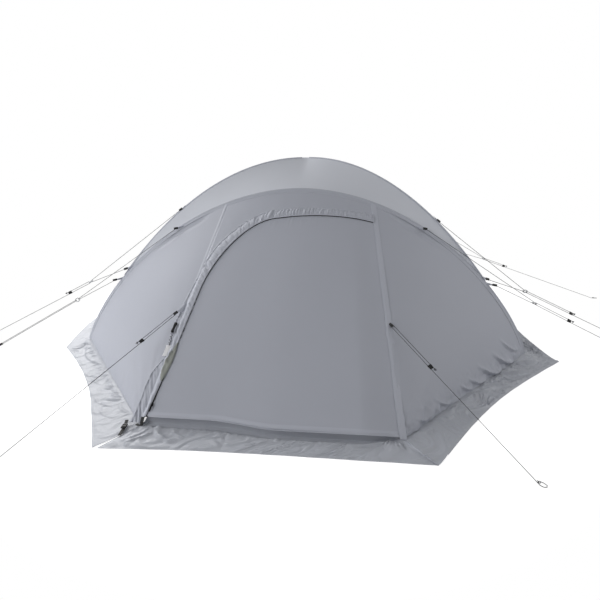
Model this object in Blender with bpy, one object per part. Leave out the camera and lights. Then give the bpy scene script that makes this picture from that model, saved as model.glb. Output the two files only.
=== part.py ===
"""A four-season backpacking tent, pitched, with its front door shut.

X runs across the tent, Y from front (minus) to rear (plus), Z up, and the origin is on the ground under
the apex. Two long poles cross at the apex, and an arch pole stands in front of and behind them. The fly is
cut in panels that meet on the lines of the poles and on four straight ridge seams. Each function below makes
one sub-part, or one family of like ones.
"""

import math

import bpy
from mathutils import Vector

# Driving sizes of the pitched tent, in metres
HALF_WIDTH = 1.25
HALF_DEPTH = 0.66
APEX = 1.066
ARCH_TOP = 0.885
ARCH_TOP_Y = 0.39
HEM_HALF = 0.519
HEM_Y = 1.51
HEM_Z = 0.03
CORNER_Z = 0.010
HEM_RISE = 0.028
HEM_BULGE = 0.03
HEM_RAMPS = (0.045, 0.3)
BULGE_PART = (-0.45, 0.1)
BULGE_SINK = 0.3
SKIRT_WIDTH = 0.145
SKIRT_SKEW = 0.013

# Shape of a bent pole: how full its shoulders are, and how steep its feet
ARCH_BEND = (1.91, 1.465)
LONG_BEND = (2.07, 1.147)

# The two poles of a corner share one seam of the fly from here to the foot, as parts of the half width
MERGE_FROM = 0.76
MERGE_TO = 0.84
GORE_TIP = 0.79
RIDGE_TOP = 0.335
APEX_GAP = 0.03

# Fabric
FLY_THICK = 0.0012
INNER_THICK = 0.001
TUB_THICK = 0.002
SEAM = 0.002
SIDE_SAG = 0.02

# The door's outline on the front panel: s runs across from ridge to ridge, v down from arch to hem
DOOR_LEFT = -0.915
DOOR_LEFT_FOOT = -0.955
DOOR_RIGHT = 0.99
DOOR_TOP_RIGHT = 0.12
DOOR_TOP = 0.165
DOOR_TURN = -0.2
DOOR_SHOULDER = 0.52
DOOR_GAP_S = 0.008
DOOR_GAP_V = 0.0035
DOOR_FOOT = 0.994
SLIDER_LIFT = 0.0055
BROW_EDGE = 0.002
BROW_SIDE = 0.006
FLAP_LIFT = 0.004
FLAP_WIDTH_TOP = 0.038
FLAP_WIDTH_SIDE = 0.10

# Skirts
CORNER_OUT = (0.135, 0.06)
FRONT_OUT = 0.116
SCALLOP = 0.045
END_SCALLOP = 0.016
RIPPLE = 0.007
DOOR_SKIRT_CUT_TOP = 0.49
DOOR_SKIRT_CUT_FOOT = 0.34
CUT_GAP = 0.004
LEFT_GAP = (0.035, 0.015)

# Poles
POLE_RADIUS = 0.0048
POLE_INSET = {"arch_pole": 0.010, "long_pole": 0.030}
POLE_OVER = 0.013
FOOT_SPREAD = 0.03
TIP_RADIUS = 0.55
TIP_CLEAR = 0.002

# Inner tent
INNER_FLOOR = (1.10, 0.605)
TUB_HIGH = 0.12
INNER_LEVELS = (0.35, 0.55)
INNER_ROOF_LEVELS = (0.86, 0.93, 0.96)
INNER_WALL_LEAN = 0.3375
INNER_SCALE = 0.93
INNER_FLAT_TOP = 0.80
INNER_DOOR_HALF = 0.42
INNER_DOOR_LOW = 0.16
INNER_DOOR_HIGH = 0.76
INNER_DOOR_GAP = 0.006

# Guy lines
CORD_RADIUS = 0.00125
RING_RADIUS = 0.011
RING_THICK = 0.003
TURN = 0.0055
TENSIONER = (0.021, 0.018, 0.006)
TENSIONER_HOLE = 0.0019
TAIL = 0.014
TIE_REACH = 0.03
ARCH_TIE_LIFT = 0.018
LONG_TIE_LIFT = 0.002
TIE_DROP = 0.02


def clear_scene():
    for old in list(bpy.data.objects):
        bpy.data.objects.remove(old)


def material(name, colour, roughness, metallic=0.0):
    made = bpy.data.materials.new(name)
    made.use_nodes = True
    shader = made.node_tree.nodes["Principled BSDF"]
    shader.inputs["Base Color"].default_value = (*colour, 1.0)
    shader.inputs["Roughness"].default_value = roughness
    shader.inputs["Metallic"].default_value = metallic
    return made


def place(name, data, finish):
    data.materials.append(finish)
    made = bpy.data.objects.new(name, data)
    bpy.context.collection.objects.link(made)
    return made


def even(count, low=0.0, high=1.0):
    return [low + (high - low) * k / (count - 1) for k in range(count)]


def mix(a, b, k):
    return a + (b - a) * k


def ease(x, low, high):
    k = min(1.0, max(0.0, (x - low) / (high - low)))
    return k * k * (3 - 2 * k)


# Lines of the poles and seams. end is -1 at the front and 1 at the rear


def rise(t, bend):
    return max(0.0, 1.0 - abs(t) ** bend[0]) ** (1.0 / bend[1])


def arch_line(t, end):
    up = rise(t, ARCH_BEND)
    return Vector((HALF_WIDTH * t, end * (HALF_DEPTH - (HALF_DEPTH - ARCH_TOP_Y) * up), ARCH_TOP * up))


def long_line(t, end):
    return Vector((HALF_WIDTH * t, end * HALF_DEPTH * abs(t), APEX * rise(t, LONG_BEND)))


def roof_seam(t, end):
    """The seam over a long pole, which joins the arch seam low on each corner."""
    return mix(long_line(t, end), arch_line(t, end), ease(abs(t), MERGE_FROM, MERGE_TO))


def hem_reach():
    """The part of the half width at which a corner seam comes down to the hem."""
    return (1.0 - (HEM_Z / ARCH_TOP) ** ARCH_BEND[1]) ** (1.0 / ARCH_BEND[0])


def hem_corner(side, end):
    return Vector((side * HEM_HALF, end * HEM_Y, CORNER_Z))


def hem_shift(s, end):
    """How an end panel's hem leaves the straight line between its staked corners: lifted, and bulged outwards."""
    bulge = ease(s, *BULGE_PART)
    ramp = ease(1 - s, 0, HEM_RAMPS[1])
    lift = HEM_RISE * ease(1 + s, 0, HEM_RAMPS[0]) * ramp * (1 - BULGE_SINK * bulge)
    out = HEM_BULGE * bulge * ramp
    return Vector((0, end * out, lift))


def front_point(s, v, end=-1):
    """A point of the flat-ish end panel that is ruled from the arch down to the hem."""
    foot = Vector((HEM_HALF * s, end * HEM_Y, CORNER_Z)) + hem_shift(s, end)
    return mix(arch_line(RIDGE_TOP * s, end), foot, v)


def front_normal(end=-1):
    across = front_point(1, 0.5, end) - front_point(-1, 0.5, end)
    down = front_point(0, 1, end) - front_point(0, 0, end)
    normal = across.cross(down).normalized()
    return normal if normal.z > 0 else -normal


def door_top(s):
    """How far down the panel the door's zip runs at s."""
    if s >= DOOR_TURN:
        return mix(DOOR_TOP_RIGHT, DOOR_TOP, (DOOR_RIGHT - s) / (DOOR_RIGHT - DOOR_TURN))
    k = min(1.0, (DOOR_TURN - s) / (DOOR_TURN - DOOR_LEFT))
    return mix(DOOR_SHOULDER, DOOR_TOP, math.sqrt(1.0 - k * k))


def door_side(v):
    """The s of the door's left edge below its shoulder, which slants out a little to the hem."""
    return mix(DOOR_LEFT, DOOR_LEFT_FOOT, (v - DOOR_SHOULDER) / (DOOR_FOOT - DOOR_SHOULDER))


# Makers of thin sheets and tubes


def sheet(name, rows, thick, outward, finish):
    """A closed thin sheet over a grid of points. It thickens to the side that outward points to."""
    count = len(rows[0])
    points = [point for row in rows for point in row]
    faces = [
        (r * count + c, r * count + c + 1, (r + 1) * count + c + 1, (r + 1) * count + c)
        for r in range(len(rows) - 1)
        for c in range(count - 1)
    ]
    data = bpy.data.meshes.new(name)
    data.from_pydata(points, [], faces)
    facing = sum((face.normal * face.area for face in data.polygons), Vector())
    if facing.dot(outward) < 0:
        data.flip_normals()
    data.shade_smooth()
    made = place(name, data, finish)
    wall = made.modifiers.new("wall", "SOLIDIFY")
    wall.thickness = thick
    wall.offset = 1.0
    return made


def inset_pair(a, b, gap=SEAM):
    step = (b - a).normalized() * gap
    return a + step, b - step


def ruled(a, b, count):
    return [mix(a, b, k) for k in even(count)]


def tube(name, points, radius, finish, radii=None, steps=2):
    data = bpy.data.curves.new(name, "CURVE")
    data.dimensions = "3D"
    data.bevel_depth = radius
    data.bevel_resolution = steps
    data.use_fill_caps = True
    line = data.splines.new("POLY")
    line.points.add(len(points) - 1)
    for k, point in enumerate(points):
        line.points[k].co = (*point, 1.0)
        line.points[k].radius = radii[k] if radii else 1.0
    return place(name, data, finish)


# The poles


def pole_reach(count):
    """Stations along a pole, closer together near its feet."""
    return [math.sin(k * math.pi / 2) for k in even(count, -1.0, 1.0)]


def arch_pole(name, end, finish):
    points = []
    for t in pole_reach(27):
        point = arch_line(t, end)
        point *= 1.0 - POLE_INSET["arch_pole"] / point.length
        point.y -= end * FOOT_SPREAD * abs(t) ** 16
        point.z = max(point.z, TUB_THICK + TIP_CLEAR)
        points.append(point)
    radii = [TIP_RADIUS if k in (0, len(points) - 1) else 1.0 for k in range(len(points))]
    tube(name, points, POLE_RADIUS, finish, radii)


def long_pole(name, hand, finish):
    """hand 1 runs from the front left foot to the rear right one, -1 the other way, over the first."""
    points = []
    for t in pole_reach(27):
        point = roof_seam(t, hand * math.copysign(1, t))
        point *= 1.0 - POLE_INSET["long_pole"] / point.length
        point.z -= (POLE_OVER if hand > 0 else 0.0) * (1 - abs(t)) ** 2
        point.z = max(point.z, TUB_THICK + TIP_CLEAR)
        points.append(point)
    radii = [TIP_RADIUS if k in (0, len(points) - 1) else 1.0 for k in range(len(points))]
    tube(name, points, POLE_RADIUS, finish, radii)


def foot_strap(name, side, end, finish):
    """The webbing that ties a corner of the groundsheet to the feet of its two poles."""
    near = Vector((side * (INNER_FLOOR[0] + 0.004), end * (INNER_FLOOR[1] + 0.004), 0.0))
    far = Vector((side * (HALF_WIDTH + 0.02), end * (HALF_DEPTH + 0.01), 0.0))
    along = (far - near).normalized()
    half = Vector((-along.y, along.x, 0.0)) * 0.03
    rows = [[near + along * 0.012 - half * 0.4, near + along * 0.012 + half * 0.4], [far - half, far + half]]
    sheet(name, rows, TUB_THICK, Vector((0, 0, 1)), finish)


# The fly


def roof_gore(name, end, finish):
    """The lens between the crossed long poles and an arch."""
    rows = []
    for k in even(25, -1.0, 1.0):
        t = GORE_TIP * math.sin(k * math.pi / 2)
        a, b = inset_pair(roof_seam(t, end), arch_line(t, end))
        rows.append(ruled(a, b, 4))
    sheet(name, rows, FLY_THICK, Vector((0, end * 0.5, 1)), finish)


def side_gore(name, side, finish):
    """The panel between the front and rear long poles of one side, a little drawn in between them."""
    rows = []
    for k in even(15):
        t = side * mix(APEX_GAP, hem_reach(), math.sin(k * math.pi / 2))
        a, b = inset_pair(roof_seam(t, -1), roof_seam(t, 1))
        inward = Vector((-side * 0.7, 0, -0.7))
        row = []
        for j in even(7):
            sag = SIDE_SAG * 4 * j * (1 - j) * math.sin(k * math.pi)
            row.append(mix(a, b, j) + inward * sag)
        rows.append(row)
    sheet(name, rows, FLY_THICK, Vector((side, 0, 1)), finish)


def corner_panel(name, side, end, finish):
    """The vestibule's side, a cone from the hem corner up to the arch."""
    corner = hem_corner(side, end)
    rows = []
    for k in even(13):
        t = side * mix(hem_reach(), RIDGE_TOP + 0.004, math.sin(k * math.pi / 2))
        a, b = inset_pair(arch_line(t, end), corner)
        rows.append([mix(a, b, j) for j in (0.0, 0.25, 0.5, 0.75, 0.97)])
    sheet(name, rows, FLY_THICK, Vector((side, end, 0.8)), finish)


def end_panel(name, end, finish):
    """The rear's flat panel, whole from ridge to ridge."""
    rows = []
    for s in even(9, -0.994, 0.994):
        a, b = inset_pair(front_point(s, 0, end), front_point(s, 1, end))
        rows.append(ruled(a, b, 6))
    sheet(name, rows, FLY_THICK, front_normal(end), finish)


def door_sections():
    """Stations across the door, closer together round its top corner."""
    turn = [DOOR_TURN + (DOOR_LEFT - DOOR_TURN) * math.sin(k * math.pi / 2) for k in even(9, 1.0, 0.0)]
    return turn + even(6, DOOR_TURN, DOOR_RIGHT)[1:]


def fly_door(finish):
    rows = []
    for s in door_sections():
        top = door_top(s)
        slant = (DOOR_LEFT_FOOT - DOOR_LEFT) * ease(-s, -DOOR_TURN, -DOOR_LEFT)
        rows.append([front_point(s + slant * j, mix(top, DOOR_FOOT, j)) for j in even(6)])
    sheet("fly_door", rows, FLY_THICK, front_normal(), finish)


def zip_line(grow_s=0.0, grow_v=0.0):
    """The door's outline as (s, v) pairs from the right ridge over the top and down to the hem."""
    line = []
    for s in reversed(door_sections()):
        lean = ease(-s, -DOOR_TURN, -DOOR_LEFT)
        line.append((s - grow_s * lean, door_top(s) - grow_v * (1 - lean)))
    return line + [(door_side(v) - grow_s, v) for v in even(5, DOOR_SHOULDER, DOOR_FOOT)[1:]]


def brow_edge():
    """The brow's outer edge as (s, v) pairs, one beside each station of the door's outline."""
    along = [(s, BROW_EDGE) for s in even(6, DOOR_RIGHT, DOOR_TURN)]
    along += [(s, BROW_EDGE) for s in even(6, DOOR_TURN, -1 + BROW_SIDE)[1:]]
    down = even(4, BROW_EDGE, DOOR_SHOULDER)[1:] + even(5, DOOR_SHOULDER, DOOR_FOOT)[1:]
    return along + [(-1 + BROW_SIDE, v) for v in down]


def brow_panel(finish):
    """The strip of the front panel above and left of the door."""
    inner = zip_line(DOOR_GAP_S, DOOR_GAP_V)
    rows = [ruled(front_point(*a), front_point(*b), 3) for a, b in zip(brow_edge(), inner)]
    sheet("front_brow", rows, FLY_THICK, front_normal(), finish)


def storm_flap(finish):
    """The gathered flap that covers the zip, sewn along its outer edge."""
    lift = front_normal() * (FLAP_LIFT + FLY_THICK)
    rows = []
    for s, v in zip_line(DOOR_GAP_S, DOOR_GAP_V):
        lean = ease(-s, -DOOR_TURN, -DOOR_LEFT)
        a = front_point(s, v) + lift
        b = front_point(s - FLAP_WIDTH_SIDE * lean, v - FLAP_WIDTH_TOP * (1 - lean) ** 0.5) + lift
        crown = front_normal() * 0.004
        rows.append([a, mix(a, b, 0.5) + crown, b])
    sheet("storm_flap", rows, FLY_THICK, front_normal(), finish)


# The skirts


def skirt_top(point, out):
    """A point of a skirt's upper edge, just outside and below the hem."""
    return point + out * 0.004 - Vector((0, 0, 0.004))


def skirt_run(top_a, top_b, foot_a, foot_b, waves, scallop, count, at_end=False):
    """Rows of a skirt between two stations. It drops from the hem, then lies on the ground in ripples."""
    middle = (top_a + top_b) / 2
    inward = (middle - (foot_a + foot_b) / 2)
    inward.z = 0
    inward.normalize()
    rows = []
    for u in even(count):
        top = mix(top_a, top_b, u)
        if at_end:
            top += hem_shift(top.x / HEM_HALF, math.copysign(1, top.y))
        foot = mix(foot_a, foot_b, u) + inward * scallop * math.sin(math.pi * u)
        row = []
        for f in (0.0, 0.3, 0.65, 1.0):
            point = mix(top, foot, f)
            fold = RIPPLE * (1 - math.cos(2 * math.pi * waves * u)) * 2 * f * (1 - 0.75 * f)
            point.z = top.z * (1 - f) ** 1.7 + fold
            row.append(point)
        rows.append(row)
    return rows


def corner_points(side, end):
    """The hem and the ground corner of the skirt at a pole foot."""
    foot = arch_line(side * hem_reach(), end)
    out = Vector((side, end, 0)).normalized()
    ground = Vector((side * (HALF_WIDTH + CORNER_OUT[0]), end * (HALF_DEPTH + CORNER_OUT[1]), 0))
    return skirt_top(foot, out), ground


def end_points(side, end):
    """The hem and the ground corner of the skirt at the front or rear."""
    corner = hem_corner(side, end)
    ground = Vector((side * (HEM_HALF + FRONT_OUT), end * (HEM_Y + SKIRT_WIDTH - side * SKIRT_SKEW), 0))
    return skirt_top(corner, Vector((side * 0.3, end, 0)).normalized()), ground


def side_skirt(name, side, finish, rows_before=()):
    top_a, foot_a = end_points(side, -1)
    top_b, foot_b = corner_points(side, -1)
    top_c, foot_c = corner_points(side, 1)
    top_d, foot_d = end_points(side, 1)
    if rows_before:
        top_a, foot_a = rows_before[-1][0], rows_before[-1][-1]
    rows = list(rows_before)
    rows += skirt_run(top_a, top_b, foot_a, foot_b, 4, SCALLOP, 13)[1 if rows_before else 0 :]
    rows += skirt_run(top_b, top_c, foot_b, foot_c, 5, SCALLOP, 13)[1:]
    rows += skirt_run(top_c, top_d, foot_c, foot_d, 4, SCALLOP, 13)[1:]
    sheet(name, rows, FLY_THICK, Vector((side * 0.2, 0, 1)), finish)


def skirts(finish):
    left_top, left_foot = end_points(-1, -1)
    right_top, right_foot = end_points(1, -1)
    cut_top = Vector((DOOR_SKIRT_CUT_TOP, right_top.y, right_top.z))
    cut_foot = Vector((DOOR_SKIRT_CUT_FOOT, right_foot.y, 0))
    gap = Vector((CUT_GAP, 0, 0))
    near_top = left_top + Vector((LEFT_GAP[0], 0, 0))
    near_foot = left_foot + Vector((LEFT_GAP[1], 0, 0))
    rows = skirt_run(near_top, cut_top, near_foot, cut_foot, 4, END_SCALLOP, 17, True)
    sheet("door_skirt", rows, FLY_THICK, Vector((0, 0, 1)), finish)
    before = skirt_run(cut_top + gap, right_top, cut_foot + gap, right_foot, 1, 0, 5, True)
    side_skirt("right_skirt", 1, finish, before)
    side_skirt("left_skirt", -1, finish)
    rear_left, rear_left_foot = end_points(-1, 1)
    rear_right, rear_right_foot = end_points(1, 1)
    rows = skirt_run(rear_left + gap, rear_right - gap, rear_left_foot + gap, rear_right_foot - gap, 5, END_SCALLOP, 17, True)
    sheet("rear_skirt", rows, FLY_THICK, Vector((0, 0, 1)), finish)


# The inner tent


def inner_width(z):
    """Half width of the inner tent at height z, a little inside the long poles."""
    reach = (1.0 - (z / (APEX * INNER_SCALE)) ** LONG_BEND[1]) ** (1.0 / LONG_BEND[0])
    return min(INNER_FLOOR[0], HALF_WIDTH * INNER_SCALE * reach)


def inner_half(z):
    """Half width and half depth of the inner tent at height z."""
    half_depth = INNER_FLOOR[1] - INNER_WALL_LEAN * min(z, INNER_FLAT_TOP)
    if z > INNER_FLAT_TOP:
        half_depth *= inner_width(z) / inner_width(INNER_FLAT_TOP)
    return inner_width(z), half_depth


def box_of(name, low, high, finish):
    """A plain closed box."""
    x, y, z = zip(low, high)
    points = [(x[i], y[j], z[k]) for k in (0, 1) for j in (0, 1) for i in (0, 1)]
    faces = [(0, 2, 3, 1), (4, 5, 7, 6), (0, 1, 5, 4), (2, 6, 7, 3), (0, 4, 6, 2), (1, 3, 7, 5)]
    data = bpy.data.meshes.new(name)
    data.from_pydata(points, [], faces)
    return place(name, data, finish)


def floor_tub(finish):
    """The groundsheet, turned up all round as a shallow tub."""
    wide, deep = INNER_FLOOR
    lean = INNER_WALL_LEAN * TUB_HIGH
    rings = [(wide, deep, 0.0), (wide - 0.01, deep - lean, TUB_HIGH - 0.001)]
    inner = [(wide - 0.01 - TUB_THICK, deep - lean - TUB_THICK, TUB_HIGH - 0.001)]
    inner.append((wide - TUB_THICK, deep - TUB_THICK, TUB_THICK))
    points = []
    for half_x, half_y, z in rings + inner:
        points += [(-half_x, -half_y, z), (half_x, -half_y, z), (half_x, half_y, z), (-half_x, half_y, z)]
    faces = [(3, 2, 1, 0), (12, 13, 14, 15)]
    for ring in range(3):
        for k in range(4):
            a, b = ring * 4 + k, ring * 4 + (k + 1) % 4
            faces.append((a, b, b + 4, a + 4))
    data = bpy.data.meshes.new("groundsheet_tub")
    data.from_pydata(points, [], faces)
    place("groundsheet_tub", data, finish)


def inner_ring(z):
    """One level of the inner tent as a loop of points, from the front left corner round to the left side."""
    half_x, half_y = inner_half(z)
    door = INNER_DOOR_HALF * (1 - 0.55 * z)
    front = [(x, -half_y, z) for x in (-half_x, -door, door, half_x)]
    side = [(half_x, 0, z)]
    rear = [(x, half_y, z) for x in (half_x, 0, -half_x)]
    return [Vector(point) for point in front + side + rear + [(-half_x, 0, z)]]


def inner_tent(finish):
    """The breathable inner tent with its doorway cut in the front wall."""
    levels = [TUB_HIGH, INNER_DOOR_LOW, *INNER_LEVELS, INNER_DOOR_HIGH, *INNER_ROOF_LEVELS]
    rings = [inner_ring(z) for z in levels]
    count = len(rings[0])
    points = [point for ring in rings for point in ring]
    faces = []
    for r in range(len(levels) - 1):
        for k in range(count):
            in_door = k == 1 and levels[r] >= INNER_DOOR_LOW and levels[r + 1] <= INNER_DOOR_HIGH
            if not in_door:
                a, b = r * count + k, r * count + (k + 1) % count
                faces.append((a, b, b + count, a + count))
    faces.append(tuple((len(levels) - 1) * count + k for k in range(count)))
    data = bpy.data.meshes.new("inner_tent")
    data.from_pydata(points, [], faces)
    made = place("inner_tent", data, finish)
    wall = made.modifiers.new("wall", "SOLIDIFY")
    wall.thickness = INNER_THICK
    wall.offset = -1.0


def inner_door(finish):
    rows = []
    for z in (INNER_DOOR_LOW, *INNER_LEVELS, INNER_DOOR_HIGH):
        _, half_y = inner_half(z)
        door = INNER_DOOR_HALF * (1 - 0.55 * z) - INNER_DOOR_GAP
        up = mix(INNER_DOOR_GAP, -INNER_DOOR_GAP, (z - INNER_DOOR_LOW) / (INNER_DOOR_HIGH - INNER_DOOR_LOW))
        shift = Vector((0, INNER_WALL_LEAN * up + INNER_THICK, up))
        rows.append([Vector((x, -half_y, z)) + shift for x in even(5, -door, door)])
    sheet("inner_door", rows, INNER_THICK, Vector((0, -1, 0.3)), finish)


# The zip slider and the guy lines


def zip_slider(finish):
    """A small slider that straddles the door's own edge, low on its straight run."""
    up = (front_point(door_side(0.6), 0.6) - front_point(door_side(1), 1)).normalized()
    out = front_normal()
    right = up.cross(out).normalized()
    if right.x < 0:
        right = -right
    centre = front_point(door_side(0.955), 0.955) + out * (FLY_THICK + SLIDER_LIFT) + right * 0.009
    half = (0.006, 0.011, 0.003)
    made = box_of("zip_slider", [-h for h in half], half, finish)
    axes = (right, up, right.cross(up))
    for corner in made.data.vertices:
        local = corner.co.copy()
        corner.co = centre + axes[0] * local.x + axes[1] * local.y + axes[2] * local.z
    soften(made, 0.0015)


def soften(made, width):
    edge = made.modifiers.new("edge", "BEVEL")
    edge.width = width
    edge.segments = 1


def tensioner_mesh(finish):
    """A flat bar with two holes for the strands, along its own X."""
    long, wide, thick = (size / 2 for size in TENSIONER)
    bar = box_of("bar", (-long, -wide, -thick), (long, wide, thick), finish)
    soften(bar, 0.0015)
    for side in (-1, 1):
        bpy.ops.mesh.primitive_cylinder_add(
            vertices=8,
            radius=TENSIONER_HOLE,
            depth=TENSIONER[0] * 2,
            location=(0, side * TURN, 0),
            rotation=(0, math.pi / 2, 0),
        )
        drill = bpy.context.object
        cut = bar.modifiers.new("hole", "BOOLEAN")
        cut.operation = "DIFFERENCE"
        cut.solver = "EXACT"
        cut.object = drill
        drill.hide_render = True
        drill.display_type = "WIRE"
    bpy.context.view_layer.update()
    graph = bpy.context.evaluated_depsgraph_get()
    data = bpy.data.meshes.new_from_object(bar.evaluated_get(graph))
    for helper in [bar] + [modifier.object for modifier in bar.modifiers if modifier.type == "BOOLEAN"]:
        bpy.data.objects.remove(helper)
    data.materials.clear()
    return data


def guy_frame(start, anchor, side_hint):
    """Unit vectors of a taut line: along it, across both its strands, and square to both."""
    along = (anchor - start).normalized()
    square = along.cross(side_hint).normalized()
    return along, square.cross(along).normalized(), square


def stake_loop(end, along, across):
    """The loop at the end of a line, lying on the ground for a stake to go through."""
    flat = Vector((along.x, along.y, 0)).normalized()
    side = Vector((-flat.y, flat.x, 0))
    if side.dot(across) < 0:
        side = -side
    shape = ((0.008, -0.005), (0.02, -0.0105), (0.032, -0.0085), (0.037, 0.0), (0.032, 0.0085), (0.02, 0.0105))
    points = [end + flat * u + side * w for u, w in shape + ((0.009, 0.0075),)]
    return points


def main_line(name, start, anchor, tension_at, across, square, along, finish, bar, bar_finish):
    """The doubled line from a ring or tab to its tensioner, and on to the ground as one strand."""
    span = (anchor - start).length
    bar_at = span * tension_at
    tail_end = bar_at + TENSIONER[0] / 2 + TAIL
    points = [start + along * tail_end + across * TURN]
    for k in even(5):
        angle = math.pi * k
        points.append(start - along * TURN * math.sin(angle) + across * TURN * math.cos(angle))
    flat = Vector((along.x, along.y, 0)).normalized()
    points.append(start + along * tail_end - across * TURN)
    last = anchor - across * TURN
    last.z = CORD_RADIUS + 0.0004
    points.append(last - flat * 0.004)
    points += stake_loop(last, along, across)
    tube(name, points, CORD_RADIUS, finish)
    made = place("tensioner_" + name[4:], bar.copy(), bar_finish)
    for corner in made.data.vertices:
        x, y, z = corner.co
        corner.co = start + along * (bar_at + x) + across * y + square * z


def single_guy(name, side, end, height, reach, anchor, tension_at, finish, bar, bar_finish):
    """A line from the middle of a ridge seam."""
    tab = mix(hem_corner(side, end), arch_line(side * RIDGE_TOP, end), height)
    stake = Vector((*anchor, CORD_RADIUS))
    away = (stake - tab).normalized()
    start = tab + away * reach + Vector((0, 0, 0.004))
    along, across, square = guy_frame(start, stake, Vector((side, 0, 0.3)))
    main_line(name, start, stake, tension_at, across, square, along, finish, bar, bar_finish)


def bridle_guy(name, line, side, end, ties, anchor, balance, reach, tension_at, finishes, bar):
    """A line that ends in a ring, and the bridle that runs through the ring to two ties on one seam. An arch's
    upper tie is sewn in just below the pole's sleeve."""
    upper, lower = (line(side * t, end) for t in ties)
    lift = LONG_TIE_LIFT
    if line is arch_line:
        upper += (hem_corner(side, end) - upper).normalized() * TIE_DROP
        lift = ARCH_TIE_LIFT
    stake = Vector((*anchor, CORD_RADIUS))
    middle = mix(upper, lower, balance)
    ring = mix(middle, stake, reach)
    along = (stake - ring).normalized()
    square = (upper - ring).cross(lower - ring).normalized()
    across = square.cross(along).normalized()
    if across.dot(upper - ring) < 0:
        across, square = -across, -square
    centre = ring - along * RING_RADIUS
    start_turns = []
    for tie, turn in ((upper, 1), (lower, -1)):
        lifted = tie + (ring - tie).normalized() * TIE_REACH + tie.normalized() * lift
        heading = (lifted - centre).normalized()
        normal = square.cross(heading) * -turn
        if normal.dot(across) * turn < 0:
            normal = -normal
        start_turns.append((lifted, math.atan2(normal.dot(across), normal.dot(along))))
    (top, first), (foot, last) = start_turns
    bend = [centre + along * TURN * math.cos(a) + across * TURN * math.sin(a) for a in even(5, first, last)]
    cord, ring_finish, bar_finish = finishes
    tube("bridle_" + name, [top] + bend + [foot], CORD_RADIUS, cord)
    bpy.ops.mesh.primitive_torus_add(
        major_radius=RING_RADIUS, minor_radius=RING_THICK, major_segments=12, minor_segments=6
    )
    hoop = bpy.context.object
    hoop.name = "ring_" + name
    hoop.data.materials.append(ring_finish)
    hoop.data.shade_smooth()
    for corner in hoop.data.vertices:
        x, y, z = corner.co
        corner.co = ring + along * x + square * y + across * z
    if along.cross(square).dot(across) < 0:
        hoop.data.flip_normals()
    start = ring + along * RING_RADIUS
    main_line("guy_" + name, start, stake, tension_at, across, square, along, cord, bar, bar_finish)


def guys():
    cord = material("reflective cord", (0.42, 0.43, 0.45), 0.75)
    ring_finish = material("anodised ring", (0.75, 0.76, 0.78), 0.35, 0.9)
    bar_finish = material("acetal tensioner", (0.015, 0.015, 0.017), 0.45)
    bar = tensioner_mesh(bar_finish)
    singles = (
        ("guy_front_left", -1, -1, 0.45, 0.085, (-0.945, -1.811), 0.222),
        ("guy_front_right", 1, -1, 0.4, 0.034, (0.939, -1.688), 0.33),
        ("guy_rear_left", -1, 1, 0.43, 0.045, (-0.94, 1.75), 0.4),
        ("guy_rear_right", 1, 1, 0.43, 0.045, (0.94, 1.75), 0.4),
    )
    for single in singles:
        single_guy(*single, cord, bar, bar_finish)
    bridles = (
        ("arch_front_left", arch_line, -1, -1, (0.545, 0.838), (-1.74, -1.05), 0.665, 0.387, 0.675),
        ("arch_front_right", arch_line, 1, -1, (0.54, 0.833), (1.865, -0.58), 0.767, 0.383, 0.32),
        ("long_front_left", roof_seam, -1, -1, (0.555, 0.797), (-1.945, -0.835), 0.79, 0.29, 0.15),
        ("long_front_right", roof_seam, 1, -1, (0.61, 0.814), (1.95, -0.42), 0.8, 0.31, 0.388),
        ("arch_rear_left", arch_line, -1, 1, (0.55, 0.838), (-1.35, 1.7), 0.74, 0.35, 0.25),
        ("arch_rear_right", arch_line, 1, 1, (0.55, 0.838), (2.18, 0.606), 0.78, 0.29, 0.172),
    )
    finishes = (cord, ring_finish, bar_finish)
    for name, line, side, end, ties, anchor, balance, reach, tension_at in bridles:
        bridle_guy(name, line, side, end, ties, anchor, balance, reach, tension_at, finishes, bar)


def build():
    clear_scene()
    fly = material("coated fly ripstop", (0.30, 0.31, 0.34), 0.5)
    roof = material("coated roof ripstop", (0.36, 0.37, 0.38), 0.48)
    skirt = material("snow skirt ripstop", (0.33, 0.34, 0.36), 0.55)
    inner = material("breathable inner", (0.62, 0.62, 0.60), 0.85)
    tub = material("coated groundsheet", (0.10, 0.10, 0.11), 0.5)
    webbing = material("polyester webbing", (0.02, 0.02, 0.022), 0.8)
    alloy = material("anodised pole", (0.55, 0.56, 0.58), 0.3, 1.0)
    slider = material("zip slider", (0.05, 0.05, 0.055), 0.4, 0.6)
    for word, end in (("front", -1), ("rear", 1)):
        arch_pole("arch_pole_" + word, end, alloy)
        roof_gore("roof_gore_" + word, end, roof)
        for hand, side in (("left", -1), ("right", 1)):
            corner_panel(f"corner_panel_{word}_{hand}", side, end, fly)
            foot_strap(f"foot_strap_{word}_{hand}", side, end, webbing)
    long_pole("long_pole_under", 1, alloy)
    long_pole("long_pole_over", -1, alloy)
    side_gore("side_gore_left", -1, fly)
    side_gore("side_gore_right", 1, fly)
    end_panel("rear_panel", 1, fly)
    brow_panel(fly)
    fly_door(fly)
    storm_flap(fly)
    skirts(skirt)
    floor_tub(tub)
    inner_tent(inner)
    inner_door(inner)
    zip_slider(slider)
    guys()


build()
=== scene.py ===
"""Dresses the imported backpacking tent: taut coated fly, gathered storm flap, crumpled snow skirts, zip, inner
tent, poles and guy lines. X runs across the tent, Y from its door to its rear, Z up, all in metres."""

import math

import bpy
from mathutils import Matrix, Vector, noise


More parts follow.
